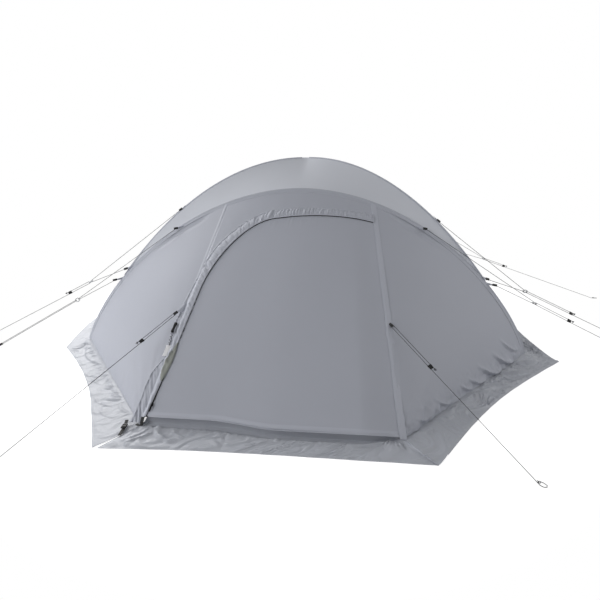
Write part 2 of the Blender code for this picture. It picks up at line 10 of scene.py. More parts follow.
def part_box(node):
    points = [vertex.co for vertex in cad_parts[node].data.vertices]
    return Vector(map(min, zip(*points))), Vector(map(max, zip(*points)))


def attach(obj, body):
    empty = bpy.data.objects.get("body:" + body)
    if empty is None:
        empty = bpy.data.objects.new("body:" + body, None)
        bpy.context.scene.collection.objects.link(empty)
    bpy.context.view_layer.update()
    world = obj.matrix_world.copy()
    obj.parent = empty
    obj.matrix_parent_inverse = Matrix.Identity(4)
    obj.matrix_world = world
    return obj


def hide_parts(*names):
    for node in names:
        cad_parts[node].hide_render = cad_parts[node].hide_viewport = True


bl_info = {
    "name": "Backpacking tent",
    "version": (1, 0, 0),
    "blender": (4, 5, 0),
    "location": "View3D > Sidebar > Tent",
    "description": "Builds the fabric, zip, inner tent and guy lines of a pitched tent on its frame",
    "category": "Object",
}

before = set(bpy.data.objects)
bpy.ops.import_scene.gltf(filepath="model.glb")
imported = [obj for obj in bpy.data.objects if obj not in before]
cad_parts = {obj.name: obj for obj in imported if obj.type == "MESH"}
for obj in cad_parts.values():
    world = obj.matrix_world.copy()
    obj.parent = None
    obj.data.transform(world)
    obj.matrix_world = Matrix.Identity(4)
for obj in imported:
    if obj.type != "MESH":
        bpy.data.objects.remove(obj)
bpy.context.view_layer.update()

# The pitched tent, as its solids have it
HALF_WIDTH = 1.25
HALF_DEPTH = 0.66
APEX = 1.066
ARCH_TOP = 0.885
ARCH_TOP_Y = 0.39
HEM_HALF = 0.519
HEM_Y = 1.51
HEM_Z = 0.03
CORNER_Z = 0.010
HEM_RISE = 0.028
HEM_BULGE = 0.03
HEM_RAMPS = (0.045, 0.3)
HEM_CRUSH = {-1: 0.003, 1: 0.012}
HEM_RUN = 1.12
BULGE_PART = (-0.45, 0.1)
BULGE_SINK = 0.3
ARCH_BEND = (1.91, 1.465)
LONG_BEND = (2.07, 1.147)
MERGE_FROM = 0.76
MERGE_TO = 0.84
RIDGE_TOP = 0.335
SIDE_SAG = 0.02
PANEL_STOP = 0.985
HEM_LIP = (0.006, 0.003)

# Panels of the fly: grid across and down, the size that its weave is drawn to, its flat size, its own area
PANELS = {
    "roof_gore": (130, 24, (2.4, 0.4), (2.5, 0.42), 0.44),
    "side_gore": (80, 90, (1.75, 1.3), (1.75, 1.32), 1.27),
    "corner_panel": (120, 170, (1.25, 1.2), (1.3, 1.25), 0.7),
    "fly_door": (230, 130, (1.0, 1.1), (1.02, 1.14), 1.0),
    "front_brow": (200, 14, (2.1, 0.2), (2.1, 0.22), 0.25),
    "rear_panel": (90, 90, (1.0, 1.33), (1.04, 1.35), 1.25),
}

# The door on the front panel: s runs across from ridge to ridge, v down from arch to hem
DOOR_LEFT = -0.915
DOOR_LEFT_FOOT = -0.955
DOOR_RIGHT = 0.99
DOOR_TOP_RIGHT = 0.12
DOOR_TOP = 0.165
DOOR_TURN = -0.2
DOOR_SHOULDER = 0.52
DOOR_FOOT = 0.994
TURN_PART = (0.42, 0.72)
HEM_TAPE_AT = 0.984

# The flap's width in metres along its run round the door, drawn in where its toggle is
FLAP_WIDTHS = (
    (0.0, 0.066),
    (0.1, 0.056),
    (0.38, 0.06),
    (0.5, 0.075),
    (0.58, 0.08),
    (0.67, 0.056),
    (0.78, 0.066),
    (0.862, 0.04),
    (0.905, 0.072),
    (1.0, 0.064),
)
FLAP_RUN = 2.1
FLAP_OVER = 0.007
TOGGLE_AT = (0.79, 0.81, 0.048)
RIBBON_AT = (0.843, 0.867, 0.036)
ROLLED_BACK = (0.845, 0.93)
TURNED_OVER = 0.009
TURNED_PART = 0.3
GATHER = 0.008
FLAP_LOWEST = 0.0025
PUFF = 0.0065
WELT = 0.003
TOGGLE_HIGH = 0.016
TOGGLE_GIRTH = 0.0068
RIBBON_SIZE = (0.04, 0.021)
ELASTIC = 0.0028

# Zip: name, the two edges of its tape and the middle of its coil beside the slit, and the tape's height
ZIP_HALVES = (
    ("door", -0.0085, 0.0015, -0.0012, 0.0022),
    ("tent", 0.0025, 0.0125, 0.0026, 0.0012),
)
ZIP_RUN = 2.0
SLIDER_BODY = (0.015, 0.0095, 0.004)
SLIDER_BRIDGE = (0.010, 0.0024, 0.003)
SLIDER_PULL = (0.022, 0.006, 0.0012)

# Snow skirts
SKIRT_WIDTH = 0.145
SKIRT_SKEW = 0.013
CORNER_OUT = {-1: (0.1, 0.075), 1: (0.168, 0.02)}
SIDE_SCALLOPS = {-1: (-0.14, 1.0), 1: (0.06, 0.4)}
FRONT_OUT = 0.116
SCALLOP = 0.05
END_SCALLOP = 0.016
CUT_TOP = 0.49
CUT_FOOT = 0.34
LEFT_GAP = (-0.008, 0.018)
UNDERLAP = 0.018
TUCK_START = 0.018
TUCK_BACK = 0.034
TUCK_PARTS = (0.12, 0.32)
SETTLE = 0.0016
GROUND_GAP = 0.0006
FOLD_BOW = 0.12
FOLD_STEEP = 0.4
MITRE_HIGH = 0.009
MITRE_FALL = 0.03
MITRE_LEAN = 0.006
BEHIND_HEM = 0.012
BELOW_HEM = 0.003
SKIRT_STEP = 0.0045

# Single folds: both ends along and out from the hem, the half width and the height
LEFT_FOLDS = (
    (1.04, 0.03, 0.7, 0.004, 0.012, 0.008),
    (0.66, 0.075, 0.46, 0.042, 0.009, 0.005),
    (0.56, 0.008, 0.43, 0.004, 0.008, 0.006),
    (0.47, 0.025, 0.36, 0.004, 0.009, 0.006),
    (0.4, 0.11, 0.24, 0.06, 0.008, 0.006),
    (0.28, 0.11, 0.14, 0.075, 0.008, 0.005),
    (0.24, 0.03, 0.12, 0.012, 0.008, 0.006),
)
RIGHT_FOLDS = (
    (0.79, 0.0, 0.93, 0.09, 0.016, 0.022),
    (0.95, 0.0, 1.09, 0.08, 0.016, 0.022),
    (0.6, 0.0, 0.76, 0.06, 0.013, 0.016),
    (0.5, 0.0, 0.64, 0.045, 0.012, 0.014),
    (0.33, 0.0, 0.46, 0.07, 0.012, 0.012),
    (0.2, 0.0, 0.3, 0.05, 0.01, 0.01),
    (0.06, 0.004, 0.16, 0.05, 0.01, 0.01),
    (0.69, 0.055, 0.84, 0.113, 0.01, 0.009),
    (0.4, 0.08, 0.56, 0.1, 0.01, 0.006),
)
PANEL_FOLDS = (
    (0.64, -0.06, 0.84, 0.004, 0.013, 0.018),
    (0.8, -0.075, 0.98, 0.004, 0.013, 0.018),
    (0.92, -0.11, 1.06, -0.03, 0.011, 0.012),
    (0.53, -0.04, 0.66, 0.004, 0.01, 0.012),
    (0.45, -0.035, 0.54, 0.004, 0.009, 0.01),
    (0.25, -0.035, 0.36, 0.004, 0.009, 0.009),
    (0.08, -0.02, 0.2, 0.004, 0.008, 0.006),
)
DOOR_FOLDS = (
    (0.085, 0.004, 0.27, 0.125, 0.014, 0.014),
    (0.15, 0.004, 0.28, 0.085, 0.008, 0.008),
    (0.07, 0.14, 0.11, 0.05, 0.009, 0.008),
    (0.045, 0.12, 0.075, 0.02, 0.007, 0.007),
    (0.0, 0.08, 0.03, 0.004, 0.007, 0.007),
    (0.24, 0.06, 0.3, 0.01, 0.007, 0.006),
    (0.34, 0.085, 0.4, 0.02, 0.008, 0.006),
    (0.5, 0.09, 0.58, 0.03, 0.01, 0.005),
    (0.66, 0.08, 0.75, 0.03, 0.01, 0.005),
)

# Middle lines of the straps at the left foot
FLAP_TAB_PATH = ((-0.503, -1.508, 0.046), (-0.507, -1.518, 0.024), (-0.509, -1.521, 0.005))
FLAP_LOOP_PATH = ((-0.505, -1.519, 0.006), (-0.522, -1.511, 0.0075), (-0.539, -1.503, 0.007))
SKIRT_STRAP_PATH = ((-0.58, -1.497, 0.02), (-0.572, -1.536, 0.011), (-0.568, -1.585, 0.006))

# Inner tent
INNER_FLOOR = (1.10, 0.605)
TUB_HIGH = 0.12
INNER_WALL_LEAN = 0.3375
INNER_SCALE = 0.93
INNER_FLAT_TOP = 0.80
INNER_CROWN = 0.96
INNER_DOOR_HALF = 0.42
INNER_DOOR_TAPER = 0.55
INNER_DOOR_LOW = 0.16
INNER_DOOR_HIGH = 0.76
INNER_DOOR_GAP = 0.006
CANOPY_TOP = 0.86
BINDING = 0.0035
NET_FROM = 0.4
NET_MARGIN = (0.05, 0.04)

# Guy lines
RING_RADIUS = 0.011
RING_THICK = 0.003
TURN = 0.0055
BAR = (0.021, 0.018, 0.006)
TAIL = 0.008
LOOP = (0.024, 0.014, 0.006)
TIE_ROOT = 0.024
TIE_REACH = 0.03
ARCH_TIE_LIFT = 0.018
LONG_TIE_LIFT = 0.002
TIE_DROP = 0.02
TIE_TIP = 0.011
KNOT_SIZE = 0.0042
KNOT_CORD = 0.00115
BEHIND_LOOP = 0.004
STAKE_LOOP = (
    (0.008, -0.005),
    (0.02, -0.0105),
    (0.032, -0.0085),
    (0.037, 0.0),
    (0.032, 0.0085),
    (0.02, 0.0105),
    (0.009, 0.0075),
)

# Each ridge's own line: name, side, end, its tie's height, reach and root, its stake, and its runner's place
SINGLES = (
    ("front_left", -1, -1, 0.45, 0.085, 0.075, (-0.945, -1.811), 0.222),
    ("front_right", 1, -1, 0.4, 0.034, 0.03, (0.939, -1.688), 0.33),
    ("rear_left", -1, 1, 0.43, 0.045, 0.055, (-0.94, 1.75), 0.4),
    ("rear_right", 1, 1, 0.43, 0.045, 0.055, (0.94, 1.75), 0.4),
)

# Each bridle: name, pole, side, end, its ties on the pole, its stake, how its ring lies between the ties and
# towards the stake, and its runner's place
BRIDLES = (
    ("arch_front_left", "arch", -1, -1, (0.545, 0.838), (-1.74, -1.05), 0.665, 0.387, 0.675),
    ("arch_front_right", "arch", 1, -1, (0.54, 0.833), (1.865, -0.58), 0.767, 0.383, 0.32),
    ("long_front_left", "long", -1, -1, (0.555, 0.797), (-1.945, -0.835), 0.79, 0.29, 0.15),
    ("long_front_right", "long", 1, -1, (0.61, 0.814), (1.95, -0.42), 0.8, 0.31, 0.388),
    ("arch_rear_left", "arch", -1, 1, (0.55, 0.838), (-1.35, 1.7), 0.74, 0.35, 0.25),
    ("arch_rear_right", "arch", 1, 1, (0.55, 0.838), (2.18, 0.606), 0.78, 0.29, 0.172),
)

FABRIC = 0.0008
SMOOTH_ANGLE = 40
TENT = "tent"
DOOR = "door"
SIDES = {-1: "left", 1: "right"}
ENDS = {-1: "front", 1: "rear"}


class TentSizes(bpy.types.PropertyGroup):
    """Sizes that a maker may change without moving the frame."""

    seam_width: bpy.props.FloatProperty(
        name="Seam width", description="Width of a felled seam", default=0.018, unit="LENGTH"
    )
    cord_diameter: bpy.props.FloatProperty(
        name="Cord diameter", description="Diameter of the guy lines", default=0.0025, unit="LENGTH"
    )
    webbing_width: bpy.props.FloatProperty(
        name="Webbing width", description="Width of the foot's straps", default=0.013, unit="LENGTH"
    )
    fold_depth: bpy.props.FloatProperty(
        name="Fold depth", description="How deep the skirts' folds are, 1 is as pitched", default=1.0
    )


def linear(code):
    """A hex sRGB colour as the linear values that Blender works in."""
    parts = [int(code[k : k + 2], 16) / 255 for k in (0, 2, 4)]
    return [c / 12.92 if c <= 0.04045 else ((c + 0.055) / 1.055) ** 2.4 for c in parts]


def colour_prop(name, description, code):
    return bpy.props.FloatVectorProperty(
        name=name, description=description, subtype="COLOR", size=3, default=linear(code)
    )


class TentColours(bpy.types.PropertyGroup):
    """Colours of the fabrics and fittings."""

    fly: colour_prop("Fly", "Coated ripstop of the fly", "AEB1BB")
    # The roof gores are the fly's own ripstop; their lighter colour is painted top light.
    roof: colour_prop("Roof", "Coated ripstop of the two roof gores", "CFD2DA")
    skirt: colour_prop("Skirt", "Coated ripstop of the snow skirts", "AEB1B9")
    # The flap's coated back: its greenish grey is the coating's own colour, and part of its darkness is painted
    # shade under the lifted free edge.
    coating: colour_prop("Coating", "Inner face of the fly's flap", "8C8F8A")
    inner: colour_prop("Inner tent", "Breathable cloth of the inner tent", "D9D7CD")
    net: colour_prop("Net", "Insect net of the inner door", "4A4B4D")
    groundsheet: colour_prop("Groundsheet", "Coated floor", "5A5C62")
    trim: colour_prop("Trim", "Webbing, tensioners, zip and buckle", "0E0E10")
    cord: colour_prop("Cord", "Sheath of the guy lines", "2E2F33")
    fleck: colour_prop("Fleck", "Reflective yarn in the guy lines", "A9ABAE")
    pole: colour_prop("Pole", "Anodised pole tube", "B9BCC2")
    ring: colour_prop("Ring", "Bridle rings", "E4E5E6")
    label: colour_prop("Pull ribbon", "Pale ribbon on the flap's toggle", "E8E8EA")
    floor: colour_prop("Floor", "Studio floor", "F4F4F4")


# Curves of the poles and seams. end is -1 at the front and 1 at the rear


def mix(a, b, k):
    return a + (b - a) * k


def even(count, low=0.0, high=1.0):
    return [low + (high - low) * k / (count - 1) for k in range(count)]


def ease(x, low, high):
    k = min(1.0, max(0.0, (x - low) / (high - low)))
    return k * k * (3 - 2 * k)


def rise(t, bend):
    return max(0.0, 1.0 - abs(t) ** bend[0]) ** (1.0 / bend[1])


def arch_line(t, end):
    up = rise(t, ARCH_BEND)
    return Vector((HALF_WIDTH * t, end * (HALF_DEPTH - (HALF_DEPTH - ARCH_TOP_Y) * up), ARCH_TOP * up))


def long_line(t, end):
    return Vector((HALF_WIDTH * t, end * HALF_DEPTH * abs(t), APEX * rise(t, LONG_BEND)))


def roof_seam(t, end):
    return mix(long_line(t, end), arch_line(t, end), ease(abs(t), MERGE_FROM, MERGE_TO))


HEM_REACH = (1.0 - (HEM_Z / ARCH_TOP) ** ARCH_BEND[1]) ** (1.0 / ARCH_BEND[0])


def hem_corner(side, end):
    return Vector((side * HEM_HALF, end * HEM_Y, CORNER_Z))


def hem_shift(s, end):
    """How an end panel's hem leaves the straight line between its corners: lifted, and bulged outwards."""
    bulge = ease(s, *BULGE_PART)
    ramp = ease(1 - s, 0, HEM_RAMPS[1])
    lift = HEM_RISE * ease(1 + s, 0, HEM_RAMPS[0]) * ramp * (1 - BULGE_SINK * bulge)
    return Vector((0, end * HEM_BULGE * bulge * ramp, lift))


def end_foot(s, end=-1):
    return Vector((HEM_HALF * s, end * HEM_Y, CORNER_Z)) + hem_shift(s, end)


def front_point(s, v, end=-1):
    return mix(arch_line(RIDGE_TOP * s, end), end_foot(s, end), v)


def front_normal(end=-1):
    across = front_point(1, 0.5, end) - front_point(-1, 0.5, end)
    down = front_point(0, 1, end) - front_point(0, 0, end)
    normal = across.cross(down).normalized()
    return normal if normal.z > 0 else -normal


END_HEIGHT = (front_point(0, 1) - front_point(0, 0)).length


def door_side(v):
    """The s of the door's straight left edge at v."""
    return mix(DOOR_LEFT, DOOR_LEFT_FOOT, (v - DOOR_SHOULDER) / (DOOR_FOOT - DOOR_SHOULDER))


def outline(u):
    """The door's outline as (s, v), from the right ridge at u 0 over the top and down to the hem at u 1."""
    first, second = TURN_PART
    if u <= first:
        k = u / first
        return mix(DOOR_RIGHT, DOOR_TURN, k), mix(DOOR_TOP_RIGHT, DOOR_TOP, k)
    if u <= second:
        angle = (u - first) / (second - first) * math.pi / 2
        s = mix(DOOR_TURN, DOOR_LEFT, math.sin(angle))
        return s, mix(DOOR_SHOULDER, DOOR_TOP, math.cos(angle))
    v = mix(DOOR_SHOULDER, DOOR_FOOT, (u - second) / (1 - second))
    return door_side(v), v


def beside(u, reach):
    """A point beside the door's outline, reach metres away from the door on the panel, as (s, v)."""
    s, v = outline(u)
    first, second = TURN_PART
    angle = ease(u, first, second) * math.pi / 2
    return s - reach / HEM_HALF * 1.08 * math.sin(angle), v - reach / END_HEIGHT * math.cos(angle)


def unit(vector):
    return vector.normalized()


def ruled(a, b, count):
    return [mix(a, b, k) for k in even(count)]


def path_length(points):
    return sum((b - a).length for a, b in zip(points, points[1:]))


# Cloth, tubes and small hard pieces


def select_only(piece):
    bpy.ops.object.select_all(action="DESELECT")
    piece.select_set(True)
    bpy.context.view_layer.objects.active = piece


def apply_modifier(piece, kind, **settings):
    select_only(piece)
    made = piece.modifiers.new(kind, kind)
    for key, value in settings.items():
        setattr(made, key, value)
    bpy.ops.object.modifier_apply(modifier=made.name)


def finish_piece(piece, finish, body, replaces=()):
    """Gives a piece its smooth shading, finish, body and the CAD nodes that it stands for."""
    select_only(piece)
    bpy.ops.object.shade_smooth_by_angle(angle=math.radians(SMOOTH_ANGLE))
    piece.data.materials.clear()
    piece.data.materials.append(finish)
    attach(piece, body)
    if replaces:
        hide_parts(*replaces)


def cut_away(piece, hole):
    select_only(piece)
    bpy.ops.object.mode_set(mode="EDIT")
    bpy.ops.mesh.select_all(action="DESELECT")
    bpy.ops.object.mode_set(mode="OBJECT")
    for face in piece.data.polygons:
        face.select = hole(face.center)
    bpy.ops.object.mode_set(mode="EDIT")
    bpy.ops.mesh.delete(type="FACE")
    bpy.ops.object.mode_set(mode="OBJECT")


def cloth(name, place, across, down, size, outward, lift=None, wall=FABRIC, hole=None):
    """A thin sheet: a grid laid on the surface place(u, v), pushed out by lift(u, v) and given its thickness.
    Its UV map is in metres of cloth. hole tells from a face's middle whether it is cut away."""
    bpy.ops.object.select_all(action="DESELECT")
    bpy.ops.mesh.primitive_grid_add(x_subdivisions=across, y_subdivisions=down, size=2)
    piece = bpy.context.object
    piece.name = name
    mesh = piece.data
    spots = [((v.co.x + 1) / 2, (v.co.y + 1) / 2) for v in mesh.vertices]
    for vertex, spot in zip(mesh.vertices, spots):
        vertex.co = place(*spot)
    mesh.update()
    facing = sum((face.normal * face.area for face in mesh.polygons), Vector())
    if facing.dot(Vector(outward)) < 0:
        mesh.flip_normals()
        mesh.update()
    if lift:
        normals = [vertex.normal.copy() for vertex in mesh.vertices]
        for vertex, normal, spot in zip(mesh.vertices, normals, spots):
            vertex.co += normal * lift(*spot)
    layer = mesh.uv_layers[0].data
    for loop in mesh.loops:
        u, v = spots[loop.vertex_index]
        layer[loop.index].uv = (u * size[0], v * size[1])
    if hole:
        cut_away(piece, hole)
    apply_modifier(piece, "SOLIDIFY", thickness=wall, offset=1.0, use_even_offset=False)
    return piece


def tube(name, points, radius, finish):
    """A round cord through the points, on the tent's own body."""
    data = bpy.data.curves.new(name, "CURVE")
    data.dimensions = "3D"
    data.bevel_depth = radius
    data.bevel_resolution = 2
    data.use_fill_caps = True
    line = data.splines.new("POLY")
    line.points.add(len(points) - 1)
    for spot, point in zip(line.points, points):
        spot.co = (*point, 1.0)
    line.use_smooth = True
    piece = bpy.data.objects.new(name, data)
    bpy.context.collection.objects.link(piece)
    data.materials.append(finish)
    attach(piece, TENT)
    return piece


def declare_cord(points, diameter):
    """Measures a cord's length along its points and keeps nothing."""
    round(path_length(points), 3)


def block(name, size, bevel, segments=2):
    """A rounded block of that size, centred on the origin."""
    bpy.ops.object.select_all(action="DESELECT")
    bpy.ops.mesh.primitive_cube_add(size=1, scale=size)
    piece = bpy.context.object
    piece.name = name
    bpy.ops.object.transform_apply(scale=True)
    apply_modifier(piece, "BEVEL", width=bevel, segments=segments)
    return piece


def drill(piece, tool):
    """Cuts the tool's shape out of the piece and removes the tool."""
    apply_modifier(piece, "BOOLEAN", operation="DIFFERENCE", solver="EXACT", object=tool)
    bpy.data.objects.remove(tool)


def nudge(piece, *shift):
    for vertex in piece.data.vertices:
        vertex.co += Vector(shift)


def put_on_axes(piece, centre, x, y, z):
    """Moves a piece made at the origin to centre, with its own axes along x, y and z."""
    for vertex in piece.data.vertices:
        a, b, c = vertex.co
        vertex.co = centre + x * a + y * b + z * c
    piece.data.update()


def put(piece, centre, along, up):
    """Turns a piece made at the origin so that its X lies along and its Z near up, and moves it to centre."""
    x = unit(along)
    z = unit(up - x * up.dot(x))
    put_on_axes(piece, Vector(centre), x, z.cross(x), z)


def joined(name, pieces):
    select_only(pieces[0])
    for piece in pieces:
        piece.select_set(True)
    bpy.ops.object.join()
    pieces[0].name = name
    return pieces[0]


def wave(x, y, seed, size):
    """Smooth noise between -1 and 1 with lumps about size metres wide."""
    return noise.noise(Vector((x / size, y / size, seed * 7.3)))


def crease(x, y, seed, size):
    """Noise with sharp ridges, as in cloth that was packed: 0 to 1."""
    return 1.0 - min(1.0, abs(noise.noise(Vector((x / size, y / size, seed * 5.1)))) * 2.6)


def edge_window(u, v, margin=0.06):
    """0 on a sheet's four edges and 1 inside, so that folds die out at its seams."""
    return ease(min(u, 1 - u), 0, margin) * ease(min(v, 1 - v), 0, margin)


# Materials


def add(tree, kind, inputs=(), **settings):
    """Adds a shader node with its settings. An input, by name or number, is a value or a socket to link."""
    made = tree.nodes.new("ShaderNode" + kind)
    for key, value in settings.items():
        setattr(made, key, value)
    for key, value in dict(inputs).items():
        if isinstance(value, bpy.types.NodeSocket):
            tree.links.new(value, made.inputs[key])
        else:
            made.inputs[key].default_value = value
    return made


def start_material(name, roughness, **constants):
    """A material whose constants sit on the shader's own sockets."""
    made = bpy.data.materials.new(name)
    made.use_nodes = True
    shader = made.node_tree.nodes["Principled BSDF"]
    shader.inputs["Roughness"].default_value = roughness
    for key, value in constants.items():
        shader.inputs[key.replace("_", " ")].default_value = value
    return made, made.node_tree, shader


def varied_colour(tree, shader, base, source, scale, spread):
    """Cloudy light and dark of one colour, as dye and dust leave on cloth."""
    cloud = add(tree, "TexNoise", {"Vector": source, "Scale": scale, "Detail": 3.0, "Roughness": 0.5})
    dark = [c * (1 - spread) for c in base] + [1.0]
    light = [min(1.0, c * (1 + spread)) for c in base] + [1.0]
    tint = add(tree, "MixRGB", {"Fac": cloud.outputs["Fac"], "Color1": dark, "Color2": light})
    tree.links.new(tint.outputs["Color"], shader.inputs["Base Color"])


def end_with_bump(tree, shader, height, strength, depth):
    """Gives a shader its relief: depth is in metres."""
    bump = add(tree, "Bump", {"Strength": strength, "Distance": depth, "Height": height})
    tree.links.new(bump.outputs["Normal"], shader.inputs["Normal"])


def grained(name, colour, roughness, clouds, grain, **constants):
    """A material of one cloudy colour with a fine grain. clouds holds the colour's scale and spread, grain
    the scale, detail, strength and depth of the relief."""
    made, tree, shader = start_material(name, roughness, **constants)
    spot = add(tree, "TexCoord").outputs["Object"]
    varied_colour(tree, shader, colour, spot, *clouds)
    scale, detail, strength, depth = grain
    specks = add(tree, "TexNoise", {"Vector": spot, "Scale": scale, "Detail": detail})
    end_with_bump(tree, shader, specks.outputs["Fac"], strength, depth)
    return made


def ripstop(name, colour, roughness=0.6, grid=0.006, depth=0.05):
    """Silicone-coated ripstop nylon: plain-woven, calendered and coated, so it is smooth with a soft satin
    gleam. Its heavier ripstop yarns make a grid of 6 mm squares, and fine packing creases catch the light."""
    made, tree, shader = start_material(name, roughness, Specular_IOR_Level=0.3)
    spot = add(tree, "TexCoord")
    varied_colour(tree, shader, colour, spot.outputs["Object"], 2.2, 0.035)
    cell = 1 / grid
    split = add(tree, "SeparateXYZ", {"Vector": spot.outputs["UV"]})
    bars = []
    for axis in "XY":
        turn = add(tree, "Math", {0: split.outputs[axis], 1: cell}, operation="MULTIPLY")
        saw = add(tree, "Math", {0: turn.outputs[0]}, operation="FRACT")
        bars.append(add(tree, "Math", {0: saw.outputs[0], 1: 0.12}, operation="LESS_THAN").outputs[0])
    grid_lines = add(tree, "Math", {0: bars[0], 1: bars[1]}, operation="MAXIMUM")
    creases = add(
        tree, "TexNoise", {"Vector": spot.outputs["Object"], "Scale": 9.0, "Detail": 4.0, "Roughness": 0.55}
    )
    soft = add(tree, "Bump", {"Strength": depth, "Distance": 0.02, "Height": creases.outputs["Fac"]})
    weave = add(
        tree,
        "Bump",
        {"Strength": 0.05, "Distance": 0.0004, "Height": grid_lines.outputs[0], "Normal": soft.outputs[0]},
    )
    tree.links.new(weave.outputs["Normal"], shader.inputs["Normal"])
    return made


def webbing(name, colour):
    """Woven polyester webbing: matt, with an uneven weave of about 1.5 mm."""
    return grained(name, colour, 0.82, (60.0, 0.25), (700.0, 1.0, 0.5, 0.0006), Sheen_Weight=0.2)


def moulded(name, colour, roughness=0.42):
    """Injection-moulded acetal: an even, slightly waxy gloss with a faint spark-eroded grain."""
    return grained(name, colour, roughness, (80.0, 0.12), (1500.0, 2.0, 0.15, 0.0002), Specular_IOR_Level=0.2)


def anodised(name, colour, roughness=0.34):
    """Drawn and anodised aluminium tube: a satin metal with a faint uneven grain from drawing."""
    return grained(name, colour, roughness, (40.0, 0.06), (420.0, 1.0, 0.12, 0.0002), Metallic=1.0)


def braided(name, colour, fleck):
    """Braided polyester cord: matt sheath with a pale reflective yarn that shows as flecks 4 mm apart."""
    made, tree, shader = start_material(name, 0.78, Sheen_Weight=0.15)
    spot = add(tree, "TexCoord")
    cells = add(tree, "TexVoronoi", {"Vector": spot.outputs["Object"], "Scale": 260.0})
    mask = add(tree, "Math", {0: cells.outputs["Distance"], 1: 0.12}, operation="LESS_THAN")
    tint = add(tree, "MixRGB", {"Fac": mask.outputs[0], "Color1": (*colour, 1.0), "Color2": (*fleck, 1.0)})
    tree.links.new(tint.outputs["Color"], shader.inputs["Base Color"])
    plait = add(tree, "TexNoise", {"Vector": spot.outputs["Object"], "Scale": 900.0})
    end_with_bump(tree, shader, plait.outputs["Fac"], 0.4, 0.0004)
    return made


def open_weave(name, colour, roughness=0.85, spacing=0.003, depth=0.5):
    """Uncoated polyester taffeta or net: matt, with threads drawn 2 or 3 mm apart, coarser than life."""
    made, tree, shader = start_material(name, roughness, Sheen_Weight=0.3)
    spot = add(tree, "TexCoord")
    varied_colour(tree, shader, colour, spot.outputs["Object"], 5.0, 0.05)
    turned = add(tree, "Mapping", {"Vector": spot.outputs["UV"], "Scale": (1 / spacing, 1 / spacing, 1.0)})
    check = add(tree, "TexChecker", {"Vector": turned.outputs["Vector"], "Scale": 1.0})
    end_with_bump(tree, shader, check.outputs["Fac"], depth, 0.0004)
    return made


def coil_teeth(name, colour):
    """Nylon coil zip: a monofilament wound at 2 mm to the turn, drawn at about 4 mm so that it shows."""
    made, tree, shader = start_material(name, 0.4)
    spot = add(tree, "TexCoord")
    split = add(tree, "SeparateXYZ", {"Vector": spot.outputs["UV"]})
    turn = add(tree, "Math", {0: split.outputs["X"], 1: 1600.0}, operation="MULTIPLY")
    wind = add(tree, "Math", {0: turn.outputs[0]}, operation="SINE")
    varied_colour(tree, shader, colour, spot.outputs["Object"], 90.0, 0.2)
    end_with_bump(tree, shader, wind.outputs[0], 0.9, 0.0012)
    return made


FINISHES = {}


def make_finishes(colours):
    """Every finish once, by the name of the real material."""
    FINISHES.update(
        fly=ripstop("silnylon ripstop fly", colours.fly),
        # The roof finish is the fly's ripstop in a lighter colour: painted top light.
        roof=ripstop("silnylon ripstop painted with top light", colours.roof),
        # The seam finish is the fly's colour made 8% lighter: a painted highlight where the cloth catches the
        # light along the ridges. The hem tape and the tie patches take it too.
        seam=ripstop("silnylon felled seam with painted highlight", [c * 1.08 for c in colours.fly], 0.5, 0.006, 0.05),
        skirt=ripstop("silnylon snow skirt", colours.skirt, 0.44, 0.006, 0.3),
        # The coated back's colour is partly its own greenish grey and partly painted shade.
        coating=ripstop("polyurethane coated back of the flap with painted shade", colours.coating, 0.5),
        inner=open_weave("breathable polyester taffeta", colours.inner),
        net=open_weave("no-see-um net", colours.net, 0.9, 0.002, 0.9),
        groundsheet=ripstop("polyurethane coated groundsheet", colours.groundsheet, 0.4, 0.006, 0.2),
        trim=webbing("woven polyester webbing", colours.trim),
        plastic=moulded("moulded acetal", colours.trim),
        cord=braided("braided reflective cord", colours.cord, colours.fleck),
        pole=anodised("anodised aluminium pole", colours.pole),
        ring=moulded("moulded pale acetal ring", colours.ring, 0.3),
        ribbon=ripstop("pale satin ribbon", colours.label, 0.3, 0.002, 0.0),
        coil=coil_teeth("nylon coil zip", colours.trim),
        metal=anodised("painted zinc slider", [c * 1.6 for c in colours.trim], 0.45),
    )


# The fly


def make_panel(kind, place, outward, lift, word="", finish="fly", body=TENT):
    """A taut panel of the fly, in place of its solid."""
    across, down, weave, flat, area = PANELS[kind]
    node = kind + word
    piece = cloth(f"{node}_cloth", place, across, down, weave, outward, lift)
    finish_piece(piece, FINISHES[finish], body, [node])


def spread_out(u):
    """Stations on a pole's curve, closer together near its feet: -1 to 1 for u from 0 to 1."""
    return math.sin((u - 0.5) * math.pi)


def gore_lift(u, v):
    """Faint lines of pull that run down the roof from the crossed poles."""
    x, y = (u - 0.5) * 2.4, v * 0.4
    return edge_window(u, v, 0.12) * (0.0016 * wave(x, y * 0.25, 1, 0.09) + 0.002 * wave(x, y, 2, 0.4))


def make_roof_gore(end):
    def place(u, v):
        t = MERGE_TO * 0.995 * spread_out(u)
        return mix(roof_seam(t, end), arch_line(t, end), v)

    word = "_" + ENDS[end]
    # The roof finish is painted top light on the fly's own cloth.
    make_panel("roof_gore", place, (0, end * 0.5, 1), gore_lift, word, "roof")


def make_side_gore(side):
    def place(u, v):
        t = side * HEM_REACH * math.sin(u * math.pi / 2)
        point = mix(roof_seam(t, -1), roof_seam(t, 1), v)
        sag = SIDE_SAG * 4 * v * (1 - v) * math.sin(u * math.pi)
        return point + Vector((-side * 0.7, 0, -0.7)) * sag

    def lift(u, v):
        x, y = u * 1.75, v * 1.3
        return edge_window(u, v) * (0.002 * wave(x * 0.4, y, 3 + side, 0.07) + 0.003 * wave(x, y, 5, 0.5))

    make_panel("side_gore", place, (side, 0, 1), lift, "_" + SIDES[side])


